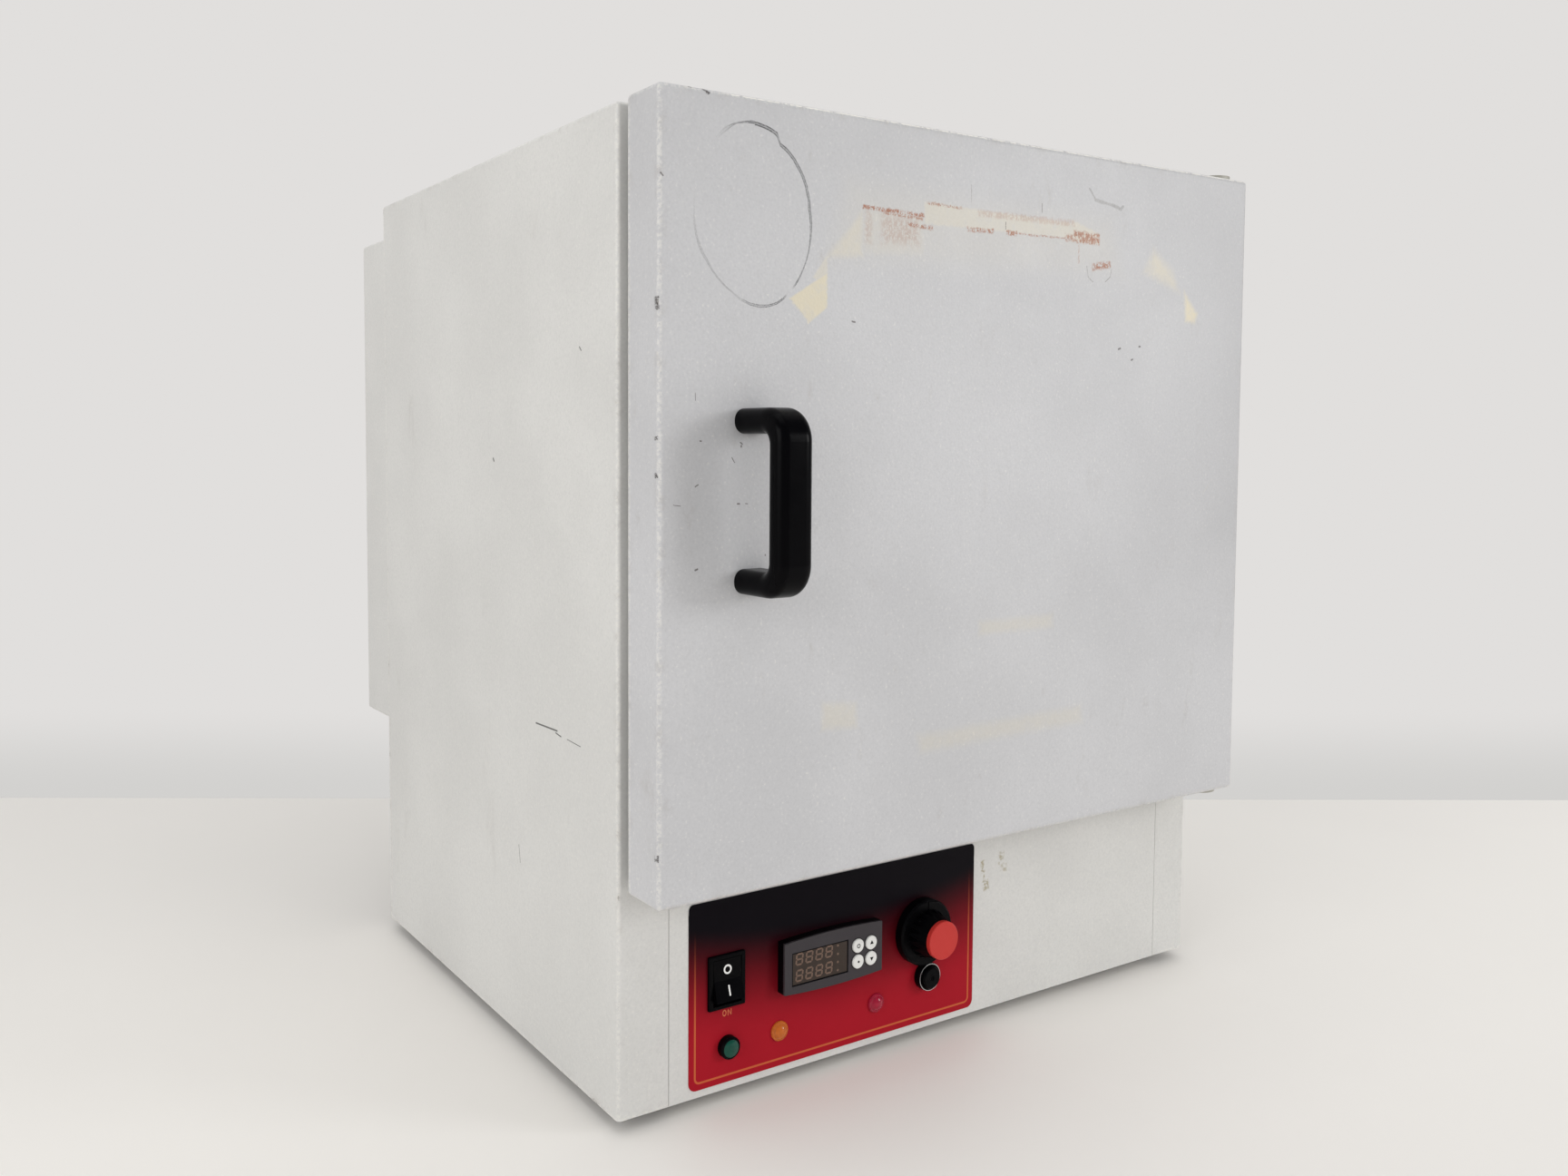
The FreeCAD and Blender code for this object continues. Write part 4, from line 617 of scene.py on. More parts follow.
def add_piece(name, mesh, material, body):
    """Turn a bmesh into a piece of the object that rides on a body."""
    data = bpy.data.meshes.new(name)
    mesh.to_mesh(data)
    mesh.free()
    data.materials.append(material)
    piece = bpy.data.objects.new(name, data)
    bpy.context.scene.collection.objects.link(piece)
    if body:
        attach(piece, body)
    return piece


def face_frame(node, toward, keep):
    """Middle and normal of the faces of a CAD node that look toward a side."""
    total = 0.0
    middle = Vector()
    normal = Vector()
    for face in NODES[node].data.polygons:
        if face.normal.dot(toward) > 0.9 and keep(face.center):
            total += face.area
            middle += face.center * face.area
            normal += face.normal * face.area
    return middle / total, normal.normalized()


def front_spot(node, across=0.0, up=0.0):
    """A place on the front of a CAD node's box, measured from the middle."""
    low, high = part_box(node)
    middle = (low + high) / 2
    return Vector((middle.x + across, low.y, middle.z + up))


def spread(across, deep, levels, facing):
    """Places on a wall, at every one of across and levels, with the side that they face."""
    return [((x, deep, z), facing) for x in across for z in levels]


def instances(steps, points, piece, **more):
    return steps.step("GeometryNodeInstanceOnPoints", {"Points": points, "Instance": piece, **more})


def made_real(steps, copies, finish):
    real = steps.step("GeometryNodeRealizeInstances", {"Geometry": copies})
    return steps.step("GeometryNodeSetMaterial", {"Geometry": real, "Material": finish})


def copies_steps(steps, entry):
    """Copies of a piece on the points of a mesh, each turned to face the point's own direction
    and then about it by a random angle."""
    piece = steps.step("GeometryNodeObjectInfo", {"Object": entry["Piece"]}, "Geometry")
    facing = steps.step("GeometryNodeInputNamedAttribute", {"Name": "facing"},
                        data_type="FLOAT_VECTOR")
    aimed = steps.step("FunctionNodeAlignRotationToVector", {"Vector": facing}, axis="Z")
    # Sockets 2 and 3 are the least and most of a plain number
    angle = steps.step("FunctionNodeRandomValue", {
        2: 0.0, 3: entry["Most turn"], "Seed": entry["Seed"]}, 1, data_type="FLOAT")
    spin = steps.step("FunctionNodeAxisAngleToRotation", {"Axis": (0, 0, 1), "Angle": angle})
    turned = steps.step("FunctionNodeRotateRotation", {"Rotation": aimed, "Rotate By": spin},
                        rotation_space="LOCAL")
    placed = instances(steps, entry["Points"], piece, Rotation=turned, Scale=entry["Size"])
    return made_real(steps, placed, entry["Finish"])


def ring_steps(steps, entry):
    """Copies of a piece turned about the Y axis in even steps, once round each point."""
    piece = steps.step("GeometryNodeObjectInfo", {"Object": entry["Piece"]}, "Geometry")
    line = steps.step("GeometryNodeMeshLine", {"Count": entry["Count"], "Offset": (0, 0, 0)})
    number = steps.step("GeometryNodeInputIndex", {})
    turn = steps.calc("DIVIDE", steps.times(number, math.tau), entry["Count"])
    spin = steps.step("FunctionNodeAxisAngleToRotation", {"Axis": (0, 1, 0), "Angle": turn})
    ring = instances(steps, line, piece, Rotation=spin)
    whole = steps.step("GeometryNodeRealizeInstances", {"Geometry": ring})
    return made_real(steps, instances(steps, entry["Points"], whole), entry["Finish"])


GROWERS = {
    "Copies on points": (copies_steps, {"Size": "Float", "Most turn": "Float", "Seed": "Int"}),
    "Copies in a ring": (ring_steps, {"Count": "Int"}),
}


def grow(name, kind, points, master, inputs, body):
    """Run a Geometry Nodes tree over points and keep its result as a plain mesh piece. The
    tree is made once, and the master is thrown away."""
    if kind not in bpy.data.node_groups:
        build, sockets = GROWERS[kind]
        node_group(kind, "GeometryNodeTree", {
            "Points": "Geometry", "Piece": "Object", **sockets, "Finish": "Material"},
            "Geometry", build)
    data = bpy.data.meshes.new(name)
    data.from_pydata([spot for spot, _ in points], [], [])
    facing = data.attributes.new("facing", "FLOAT_VECTOR", "POINT")
    for index, (_, direction) in enumerate(points):
        facing.data[index].vector = direction
    piece = bpy.data.objects.new(name, data)
    bpy.context.scene.collection.objects.link(piece)
    maker = piece.modifiers.new("maker", "NODES")
    maker.node_group = bpy.data.node_groups[kind]
    values = {"Piece": master, **inputs}
    for item in maker.node_group.interface.items_tree:
        if item.in_out == "INPUT" and item.name in values:
            maker[item.identifier] = values[item.name]
    graph = bpy.context.evaluated_depsgraph_get()
    grown = bpy.data.meshes.new_from_object(piece.evaluated_get(graph))
    piece.modifiers.remove(maker)
    piece.data = grown
    bpy.data.meshes.remove(data)
    bpy.data.objects.remove(master)
    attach(piece, body)


# Operators, one for each piece or group of like pieces

class OvenOperator(bpy.types.Operator):
    """Shared settings of the oven's operators."""
    bl_options = {"REGISTER", "UNDO"}


class OVEN_OT_cabinet(OvenOperator):
    """Paint the cabinet's sheets and finish its back, base and feet"""
    bl_idname = "oven.cabinet"
    bl_label = "Cabinet"

    # Scratches and specks on the left side, as Y, Z to Y, Z and a width
    SIDE_SCRATCHES = ((-84, 214, -113, 214.5, 1.1), (-111, 213, -118, 212, 0.9),
                      (-126, 212, -143, 211, 0.5), (-23, 374, -22, 375.5, 1.6),
                      (-145, 438, -143, 440, 0.9), (-60, 120, -58, 131, 0.5))
    # Adhesive left on the fascia, as middle in X and Z, size, turn, softness and strength
    FASCIA_SPOTS = ((35, 105, 3, 8, 8, 1, 1.3), (36.5, 98, 1.5, 8, -6, 0.7, 1.2),
                    (38, 92, 5, 6, 12, 1.2, 1.3), (52, 108, 4, 8, -6, 1.5, 1.0),
                    (54.5, 101, 5, 5, 0, 1.5, 0.8))

    def execute(self, context):
        paint = context.scene.oven_paint
        coat = powder_coat("cabinet_coat", paint.cabinet)
        across, deep, up = coat.split(coat.place)
        coat.cover(linear(paint.marker), strokes(coat, coat.join(deep, up), self.SIDE_SCRATCHES),
                   coat.fade(across, CASE[0].x + 2 * MM, CASE[0].x), 0.85)
        scuff = coat.noise(45 * MM, 6, 0.72, (1, 1, 0.4))
        coat.cover(linear(paint.grime), coat.fade(scuff, 0.60, 0.80), 0.25)
        edge_chips(coat, CASE, 0.8)
        dress(coat.done(), "outer_casing")

        coat = powder_coat("fascia_coat", paint.cabinet)
        across, _, up = coat.split(coat.place)
        coat.cover(linear(paint.tape, 0.60), patches(coat, coat.join(across, up), self.FASCIA_SPOTS),
                   coat.fade(coat.noise(3 * MM, 4, 0.7), 0.42, 0.58))
        dress(coat.done(), "control_fascia", "front_frame")

        coat = powder_coat("housing_coat", paint.cabinet)
        edge_chips(coat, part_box("rear_housing"), 0.7)
        dress(coat.done(), "rear_housing")
        dress("galvanised", "rear_panel", "base_tray")
        dress("foot_rubber", "rubber_feet")
        return {"FINISHED"}


class OVEN_OT_door(OvenOperator):
    """Paint the door with its marks and finish the parts behind it"""
    bl_idname = "oven.door"
    bl_label = "Door"

    # Marks on the door's face, in millimetres from its lower left corner.
    # Tape and its adhesive, as four corners, softness and strength
    TAPE = (((83, 325.5), (96.5, 313), (109, 322), (109, 341), 0.8, 0.85),
            ((99, 338), (109, 333), (109, 350), (108, 350), 1, 0.4),
            ((109, 350), (134, 352), (134, 378), (128.5, 372), 3.5, 0.45),
            ((180, 374), (306, 376), (306, 386), (180, 387), 1.5, 0.42),
            ((304, 374), (330, 374), (329.5, 381.5), (304, 388), 1.5, 0.45),
            ((134, 353), (181, 356), (180, 380), (134, 379), 4, 0.25),
            ((375, 360), (407, 351), (402, 362), (383, 374), 5, 0.55),
            ((417.5, 330), (427, 329.5), (429, 335), (416, 348), 2.5, 0.9),
            ((112, 350), (350, 358), (340, 390), (125, 392), 12, 0.13),
            ((229, 130), (293, 130), (293, 138), (229, 138), 3, 0.26),
            ((108, 85), (133, 84), (132, 98), (108, 100), 3, 0.30),
            ((182, 63), (322, 66), (320, 76), (180, 73), 4, 0.26),
            ((438, 209.5), (442, 214), (457, 223), (454, 226), 0.7, 0.85))
    # Brown fibres torn from a label, as middle, size, turn, softness and strength
    FIBRES = ((157, 379.4, 46, 2, -1, 0.6, 1.4), (164, 377.3, 30, 1.6, -2, 0.5, 0.9),
              (162, 369, 28, 15, 2, 4, 0.42), (138, 369, 5, 18, 0, 2, 0.34),
              (177, 372.6, 20, 2.2, -3, 0.7, 1.1), (196, 386.2, 28, 1.3, -1, 0.5, 0.9),
              (265, 385.2, 84, 4, 0.8, 1, 0.42), (225, 374.4, 22, 2.6, 1, 0.6, 1.2),
              (251, 374.9, 9, 3, 0, 0.6, 1.4), (281, 375.4, 52, 1.1, 0.5, 0.4, 0.9),
              (318, 377.6, 24, 7, 0, 1.2, 1.3), (304, 376.4, 12, 4, 0, 1, 1.0),
              (311, 367, 1.0, 12, 0, 0.5, 0.5), (332, 361, 17, 4.2, 10, 1, 1.25))
    # Pen strokes, as x, y, width and strength; a strength of 0 lifts the pen
    PEN = ((319.8, 408.8, 1.6, 0.45), (325.8, 402.3, 2.6, 0.45), (333.2, 401.3, 1.8, 0.45),
           (342.2, 400.5, 2.4, 0.5), (349.7, 398.6, 2.0, 0.5), (351.7, 400.6, 1.0, 0),
           (217.1, 400.5, 0.6, 0.6), (217.3, 390.4, 1, 0), (277.1, 395.2, 0.6, 1.0),
           (277.2, 389.9, 1, 0), (318.3, 359.8, 0.7, 0.5), (319.9, 353, 0.7, 0.6),
           (324.4, 350.3, 1, 0), (341.9, 359.5, 0.6, 0.6), (340.6, 354.4, 0.7, 0.8),
           (336.2, 351.1, 1, 0), (246, 381, 0.8, 0.9), (246, 377, 1, 0))
    # Small dark specks, as x, y to x, y and a width
    SPECKS = ((51.1, 247.2, 52.3, 246.2, 0.8), (51.6, 245.4, 51.6, 244.8, 1.0),
              (25.4, 247.9, 26.2, 247.9, 0.9), (22.4, 223.9, 24.2, 224.9, 0.7),
              (9, 214.6, 13.4, 214, 0.45), (49.4, 214.4, 50.6, 214.3, 1.0),
              (54.6, 214.4, 55.8, 214.2, 0.6), (67.8, 186.3, 67.8, 185.9, 0.8),
              (22.6, 180, 24, 180.4, 1.0), (56, 177.5, 62, 179, 0.4),
              (350.3, 308.4, 352, 309, 1.5), (370.3, 310.8, 371.4, 310.9, 1.3),
              (363, 301.8, 364.2, 302.2, 1.3), (127, 315.4, 129, 315, 1.0),
              (22.3, 273, 22.4, 269, 0.4), (45.6, 239.2, 47.4, 236.4, 0.5),
              (1.4, 384.4, 2.6, 383, 0.9))
    # Larger chips on the left and top edges, as x, y to x, y and a width
    CHIPS = ((0.1, 321.6, 0.3, 315.4, 0.9), (0.4, 30, 0.5, 27, 0.9), (27.6, 429.9, 30, 428, 1.6),
             (18.4, 429.8, 19.6, 429.6, 0.9), (0, 250, 0.2, 248.5, 0.7), (0, 231, 0.2, 229, 0.8))
    # A hand-drawn ring, as x, y, width and strength
    RING_CENTRE = (59.5, 368.5)
    RING = ((24, 393, 1, 0), (34, 404.5, 1, 0), (40.5, 410.8, 2.4, 0.2),
            (47, 414.8, 0.8, 0.8), (52.6, 416.2, 0.9, 0.9), (57.1, 416.8, 1.5, 1.0),
            (61.6, 416.2, 2.0, 1.0), (67.2, 415.1, 2.2, 1.0), (71.8, 413.6, 2.2, 1.0),
            (74.1, 412.3, 2.0, 1.0), (74.9, 410.1, 1.4, 0.7), (76.5, 407, 1.8, 0.95),
            (82.3, 403.6, 2.0, 0.85), (87.6, 397.7, 2.0, 0.85), (91.8, 391.6, 1.9, 0.85),
            (94.8, 383.5, 1.7, 0.85), (96.3, 374.3, 1.6, 0.85), (97.4, 365, 1.5, 0.8),
            (96.8, 357.4, 1.0, 0.85), (95.2, 349.7, 0.8, 0.8), (91.7, 341, 0.8, 0.8),
            (87.6, 334.1, 1.0, 1.0), (84.7, 330.6, 1, 0), (81.5, 328, 1, 0),
            (79.4, 325.6, 1.1, 0.9), (74.8, 322.6, 1.2, 0.9), (69, 320.7, 1.5, 0.75),
            (62.2, 320.3, 1.8, 0.6), (55.4, 321.5, 1.5, 0.6), (49.7, 323.9, 1.1, 0.25),
            (45.3, 326.8, 0.9, 0.4), (39.7, 330.5, 0.9, 0.5), (34.2, 335.6, 1.0, 0.4),
            (28.8, 342.9, 1.4, 0.38), (25, 348.8, 1.6, 0.36), (22.3, 356.6, 1.1, 0.32),
            (21.4, 365.5, 0.9, 0.2), (21.4, 370.8, 0.9, 0.1), (22.2, 379.7, 1, 0))
    # Rubbed paint and a painted highlight along the top bend: how far from the door's left edge it
    # starts, how far below the top it lies, half its width, and how long its left end fades
    RUBBED_HIGHLIGHT_FROM = 38 * MM
    RUBBED_HIGHLIGHT_DROP = 1.0 * MM
    RUBBED_HIGHLIGHT_HALF = 0.7 * MM
    RUBBED_HIGHLIGHT_FADE = 8 * MM
    # Painted shade on the coat: how strong it is, where it begins above the lower edge, how far in
    # from the left and right edges it grows, and the same along the hinges
    PAINTED_SHADE = 0.17
    SHADE_ABOVE = 170 * MM
    SHADE_INSETS = (60 * MM, 80 * MM)
    HINGE_REACH = 200 * MM
    HINGE_LEVELS = (40 * MM, 250 * MM)
    # How far back from the face its marks and the chips on its edges reach
    FACE_DEPTHS = (0.6 * MM, 1.2 * MM)
    EDGE_DEPTHS = (3 * MM, 5 * MM)
    # How far the outlines of tape, pen lines and chips wander
    TAPE_SHAKE = 3.5 * MM
    PEN_SHAKE = 0.9 * MM
    CHIP_SHAKE = 3 * MM

    def execute(self, context):
        self.paint_skin(context.scene.oven_paint)
        dress("brushed_stainless", "door_inner_panel")
        dress("mineral_wool", "door_insulation", "chamber_insulation")
        dress("silicone", "door_gasket")
        dress("zinc_plate", "strike_plate")
        dress("satin_black", "magnet_catch")
        return {"FINISHED"}

    def paint_skin(self, paint):
        coat = powder_coat("door_coat", paint.door)
        across, deep, up = coat.split(coat.place)
        low, top = DOOR
        face = coat.join(coat.minus(across, low.x), coat.minus(up, low.z))
        wobble = coat.noise(3.2 * MM, 4, 0.7)

        def shaken(reach):
            """The face with its places moved to and fro, for ragged outlines."""
            shift = coat.times(coat.minus(wobble, 0.5), reach)
            return coat.vector("ADD", face, coat.join(shift, shift))

        front, near_front = (coat.fade(deep, low.y + end, low.y + start)
                             for start, end in (self.FACE_DEPTHS, self.EDGE_DEPTHS))
        # Painted shade: the coat is painted darker towards the top and the right, and along the
        # hinges
        high = coat.fade(up, low.z + self.SHADE_ABOVE, top.z)
        right = coat.fade(across, low.x + self.SHADE_INSETS[0], top.x - self.SHADE_INSETS[1])
        hinge_shade = coat.times(coat.fade(across, top.x - self.HINGE_REACH, top.x),
                            coat.fade(up, *(low.z + level for level in self.HINGE_LEVELS)))
        painted_shade = coat.calc("MAXIMUM", hinge_shade, coat.times(high, coat.between(right, 0.5, 1.0)))
        coat.cover(linear(paint.door, 0.2), painted_shade, self.PAINTED_SHADE)
        smudge = coat.noise(38 * MM, 7, 0.74, (1.5, 1, 0.8))
        coat.cover(linear(paint.grime), coat.fade(smudge, 0.58, 0.78), 0.35)

        ragged = shaken(self.TAPE_SHAKE)
        worn = coat.fade(coat.noise(9 * MM, 5, 0.7), 0.30, 0.55)
        coat.cover(linear(paint.tape), sheets(coat, ragged, self.TAPE), front,
                   coat.between(worn, 0.65, 0.95))
        threads = coat.noise(1.3 * MM, 6, 0.78, (1, 1, 0.6))
        coat.cover(linear(paint.rust), patches(coat, ragged, self.FIBRES), front,
                   coat.fade(threads, 0.43, 0.54), 0.85)

        drawn = shaken(self.PEN_SHAKE)
        skip = coat.fade(coat.noise(0.55 * MM, 3, 0.7), 0.42, 0.54)
        ink = coat.times(coat.between(skip, 0.45, 1.0), front)
        ring = loop(coat, drawn, self.RING_CENTRE, self.RING)
        coat.cover(linear(paint.marker), ring, ink)
        coat.cover(linear(paint.grime, 0.5), trail(coat, drawn, self.PEN), ink)
        coat.cover(linear(paint.primer), strokes(coat, drawn, self.SPECKS), front, 0.75)

        edge_chips(coat, DOOR)
        # Rubbed paint and a painted highlight along the top bend
        start = low.x + self.RUBBED_HIGHLIGHT_FROM
        away = coat.apart(up, top.z - self.RUBBED_HIGHLIGHT_DROP)
        coat.cover(linear(paint.wear, 1.05), coat.fade(away, self.RUBBED_HIGHLIGHT_HALF, 0.0),
                   coat.fade(across, start, start + self.RUBBED_HIGHLIGHT_FADE),
                   coat.fade(wobble, 0.36, 0.52), near_front)
        coat.cover(linear(paint.primer, 0.6), strokes(coat, shaken(self.CHIP_SHAKE), self.CHIPS),
                   coat.between(skip, 0.3, 1.0), near_front)
        dress(coat.done(), "door_outer_skin")


class OVEN_OT_hinges(OvenOperator):
    """Finish the hinge brackets and their bushes"""
    bl_idname = "oven.hinges"
    bl_label = "Hinges"

    def execute(self, context):
        dress("bracket_zinc", "hinge_bracket_top", "hinge_bracket_bottom")
        dress("nylon", "hinge_bushes", "cradle_bush")
        return {"FINISHED"}


class OVEN_OT_handle(OvenOperator):
    """Finish the moulded bridge handle"""
    bl_idname = "oven.handle"
    bl_label = "Handle"

    def execute(self, context):
        dress("gloss_black", "door_handle")
        return {"FINISHED"}


class OVEN_OT_chamber(OvenOperator):
    """Finish the chamber: liner, baffle, guard, heater, sensors and cradle"""
    bl_idname = "oven.chamber"
    bl_label = "Chamber"

    def execute(self, context):
        dress("brushed_stainless", "chamber_liner", "air_baffle", "fan_guard", "rotor_cradle")
        dress("bright_stainless", "temperature_probe", "limit_sensor")
        dress("heater_sheath", "heater_element")
        return {"FINISHED"}


class OVEN_OT_drives(OvenOperator):
    """Finish the motors, the fan and the shafts"""
    bl_idname = "oven.drives"
    bl_label = "Drives"

    def execute(self, context):
        dress("motor_paint", "fan_motor")
        dress("gear_case", "gearmotor")
        dress("fan_aluminium", "fan_impeller")
        dress("zinc_plate", "fan_shaft", "drive_shaft")
        return {"FINISHED"}


class OVEN_OT_rotor(OvenOperator):
    """Finish the bottle rotor and add the grip ribs on the caps"""
    bl_idname = "oven.rotor"
    bl_label = "Bottle rotor"

    BOTTLES = 6
    RIBS = 24
    RIB_WIDTH = 1.6 * MM
    RIB_RISE = 0.5 * MM
    RIB_END = 2 * MM

    def execute(self, context):
        dress("anodised", "rotor_front_disc", "rotor_rear_disc", "rotor_tie_rods", "rotor_axle")
        dress("spring_steel", "bottle_clips")
        glass = Finish("bottle_glass", {"Transmission Weight": 1.0, "IOR": 1.47})
        film = glass.noise(20 * MM, 4)
        glass.tone = glass.mix(film, (0.86, 0.92, 0.91, 1), (0.94, 0.97, 0.97, 1))
        dress(glass.done(Roughness=glass.between(film, 0.02, 0.07)), "bottles")
        dress("cap_plastic", "bottle_caps")
        self.cap_ribs(stock("cap_plastic"))
        return {"FINISHED"}

    def cap_ribs(self, finish):
        """Grip ribs round the caps, which stand in a ring with the first one at the right."""
        low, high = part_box("bottle_caps")
        middle = (low + high) / 2
        half = (high - low) / 2
        pitch = (half.x - half.z) / (1 - math.sin(math.tau / self.BOTTLES))
        radius = half.x - pitch
        points = [((middle.x + across, 0, middle.z + up), FRONT)
                  for across, up in circle(pitch, self.BOTTLES)]
        side = self.RIB_WIDTH / 2
        outline = ((-side, -self.RIB_RISE), (side, -self.RIB_RISE), (side / 2, self.RIB_RISE),
                   (-side / 2, self.RIB_RISE))
        mesh = bmesh.new()
        add_prism(mesh, outline, high.y - low.y - 2 * self.RIB_END,
                  upright((0, high.y - self.RIB_END, radius), FRONT))
        master = add_piece("rib_master", mesh, finish, None)
        grow("cap_ribs", "Copies in a ring", points, master,
             {"Count": self.RIBS, "Finish": finish}, "rotor")


class OVEN_OT_film(OvenOperator):
    """Print the control panel's film"""
    bl_idname = "oven.film"
    bl_label = "Panel film"

    CORNER = 3.2 * MM
    LETTER_WIDTH = 2.7 * MM
    LETTER_HEIGHT = 3.9 * MM
    LETTER_LINE = 0.5 * MM
    LETTER_PITCH = 3.6 * MM
    LETTERS_ACROSS = 24.6 * MM
    LETTERS_LEVEL = 46 * MM
    TALLER = 2 * MM
    CORNER_STEPS = 6

    def execute(self, context):
        ink = context.scene.oven_print
        film = Finish("panel_film", {"Specular IOR Level": 0.05})
        across, _, up = film.split(film.place)
        middle = (FILM[0] + FILM[1]) / 2
        half = (FILM[1] - FILM[0]) / 2
        side = film.minus(across, middle.x)
        rise = film.minus(up, FILM[0].z)

        share = film.calc("DIVIDE", side, half.x)
        bow = film.minus(1.0, film.times(share, share))
        lifted = film.calc("ADD", rise, film.times(bow, ink.fade_dip))
        grain = film.noise(0.8 * MM, 1)
        lifted = film.calc("ADD", lifted, film.times(grain, 2 * MM))
        dark = film.fade(lifted, ink.fade_low, ink.fade_high)
        cloud = film.noise(30 * MM, 4)
        film.start(cloud, ink.red, 0.92, 1.06)
        film.cover(linear(ink.black), dark)
        line = self.border(film, (side, film.minus(up, middle.z)), half, ink)
        film.cover(linear(ink.border), line, film.minus(1.0, dark), 0.8)
        film.bump(film.noise(0.5 * MM), 0.006 * MM)
        dress(film.done(Roughness=film.between(cloud, 0.30, 0.42)), "control_label")
        self.upper_end(film.material)
        self.letters(stock("print_gold"))
        return {"FINISHED"}

    def border(self, film, spots, half, ink):
        """A thin line at one distance inside the film's edge, with round corners."""
        past = []
        for spot, reach in zip(spots, (half.x, half.z)):
            over = film.minus(film.calc("ABSOLUTE", spot), reach - ink.inset - self.CORNER)
            past.append(film.calc("MAXIMUM", over, 0.0))
        gap = film.apart(film.length(film.join(*past)), self.CORNER)
        return film.fade(gap, ink.line * 0.6, ink.line * 0.35)

    def upper_end(self, print_finish):
        """The film's upper end with its round corners, which stands up to the door's edge as
        the camera sees it."""
        low, high = FILM
        radius = self.CORNER
        base = high.z - 2 * radius
        level = high.z + self.TALLER - radius
        turns = [math.pi / 2 * step / self.CORNER_STEPS for step in range(self.CORNER_STEPS + 1)]
        outline = [(low.x, base), (high.x, base)]
        outline += [(high.x - radius + radius * math.cos(turn), level + radius * math.sin(turn))
                    for turn in turns]
        outline += [(low.x + radius - radius * math.sin(turn), level + radius * math.cos(turn))
                    for turn in turns]
        mesh = bmesh.new()
        add_prism(mesh, outline, PROUD, upright((0, low.y, 0), FRONT))
        add_piece("film_upper_end", mesh, print_finish, "root")

    def letters(self, gold):
        """The word ON under the mains switch."""
        wide = self.LETTER_WIDTH / 2
        tall = self.LETTER_HEIGHT / 2
        line = self.LETTER_LINE
        left = Vector((FILM[0].x + self.LETTERS_ACROSS, FILM[0].y,
                       CASE[0].z + self.LETTERS_LEVEL))
        mesh = bmesh.new()
        round_letter, hole = ([(x, y * tall / wide) for x, y in circle(radius, ROUND)]
                              for radius in (wide, wide - line))
        add_prism(mesh, round_letter, PROUD, upright(left, FRONT), hole)
        right = upright(left + Vector((self.LETTER_PITCH, 0, 0)), FRONT)
        for corners in (((-wide, -tall), (line - wide, -tall), (line - wide, tall), (-wide, tall)),
                        ((wide - line, -tall), (wide, -tall), (wide, tall), (wide - line, tall)),
                        ((wide - line, -tall), (wide, -tall), (line - wide, tall), (-wide, tall))):
            add_prism(mesh, corners, PROUD, right)
        add_piece("switch_word", mesh, gold, "root")


class OVEN_OT_switch(OvenOperator):
    """Finish the mains switch and mark its rocker with a ring and a bar"""
    bl_idname = "oven.switch"
    bl_label = "Mains switch"

    RING_OUTER = 2.8 * MM
    RING_INNER = 1.75 * MM
    BAR_WIDTH = 1.05 * MM
    BAR_LENGTH = 6.2 * MM

    def execute(self, context):
        dress("gloss_black", "switch_housing", "switch_rocker")
        low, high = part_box("switch_rocker")
        middle = (low.z + high.z) / 2
        mesh = bmesh.new()
        spot, facing = face_frame("switch_rocker", FRONT,
                                  lambda centre: centre.z > middle and centre.y < FILM[0].y)
        add_prism(mesh, circle(self.RING_OUTER, ROUND), PROUD, upright(spot, facing),
                  circle(self.RING_INNER, ROUND))
        # The pivot pins also look to the front, but lie behind the film
        spot, facing = face_frame("switch_rocker", FRONT,
                                  lambda centre: centre.z < middle and centre.y < FILM[0].y)
        half = self.BAR_LENGTH / 2 - self.BAR_WIDTH / 2
        bar = circle(self.BAR_WIDTH / 2, ROUND)
        bar = [(x, y + (half if y > 0 else -half)) for x, y in bar]
        add_prism(mesh, bar, PROUD, upright(spot, facing))
        add_piece("rocker_marks", mesh, stock("symbol_white"), "rocker")
        return {"FINISHED"}


class OVEN_OT_lamps(OvenOperator):
    """Finish the three indicator lamps"""
    bl_idname = "oven.lamps"
    bl_label = "Indicator lamps"

    def execute(self, context):
        trim = context.scene.oven_trim
        dress("satin_black", "mains_lamp_ring")
        dress(lens("green_lens", trim.green), "mains_lamp_lens")
        dress(lens("amber_lens", trim.amber), "controller_lamp_lens", "controller_lamp_ring")
        dress(lens("red_lens", trim.red), "overheat_lamp_lens", "overheat_lamp_ring")
        return {"FINISHED"}


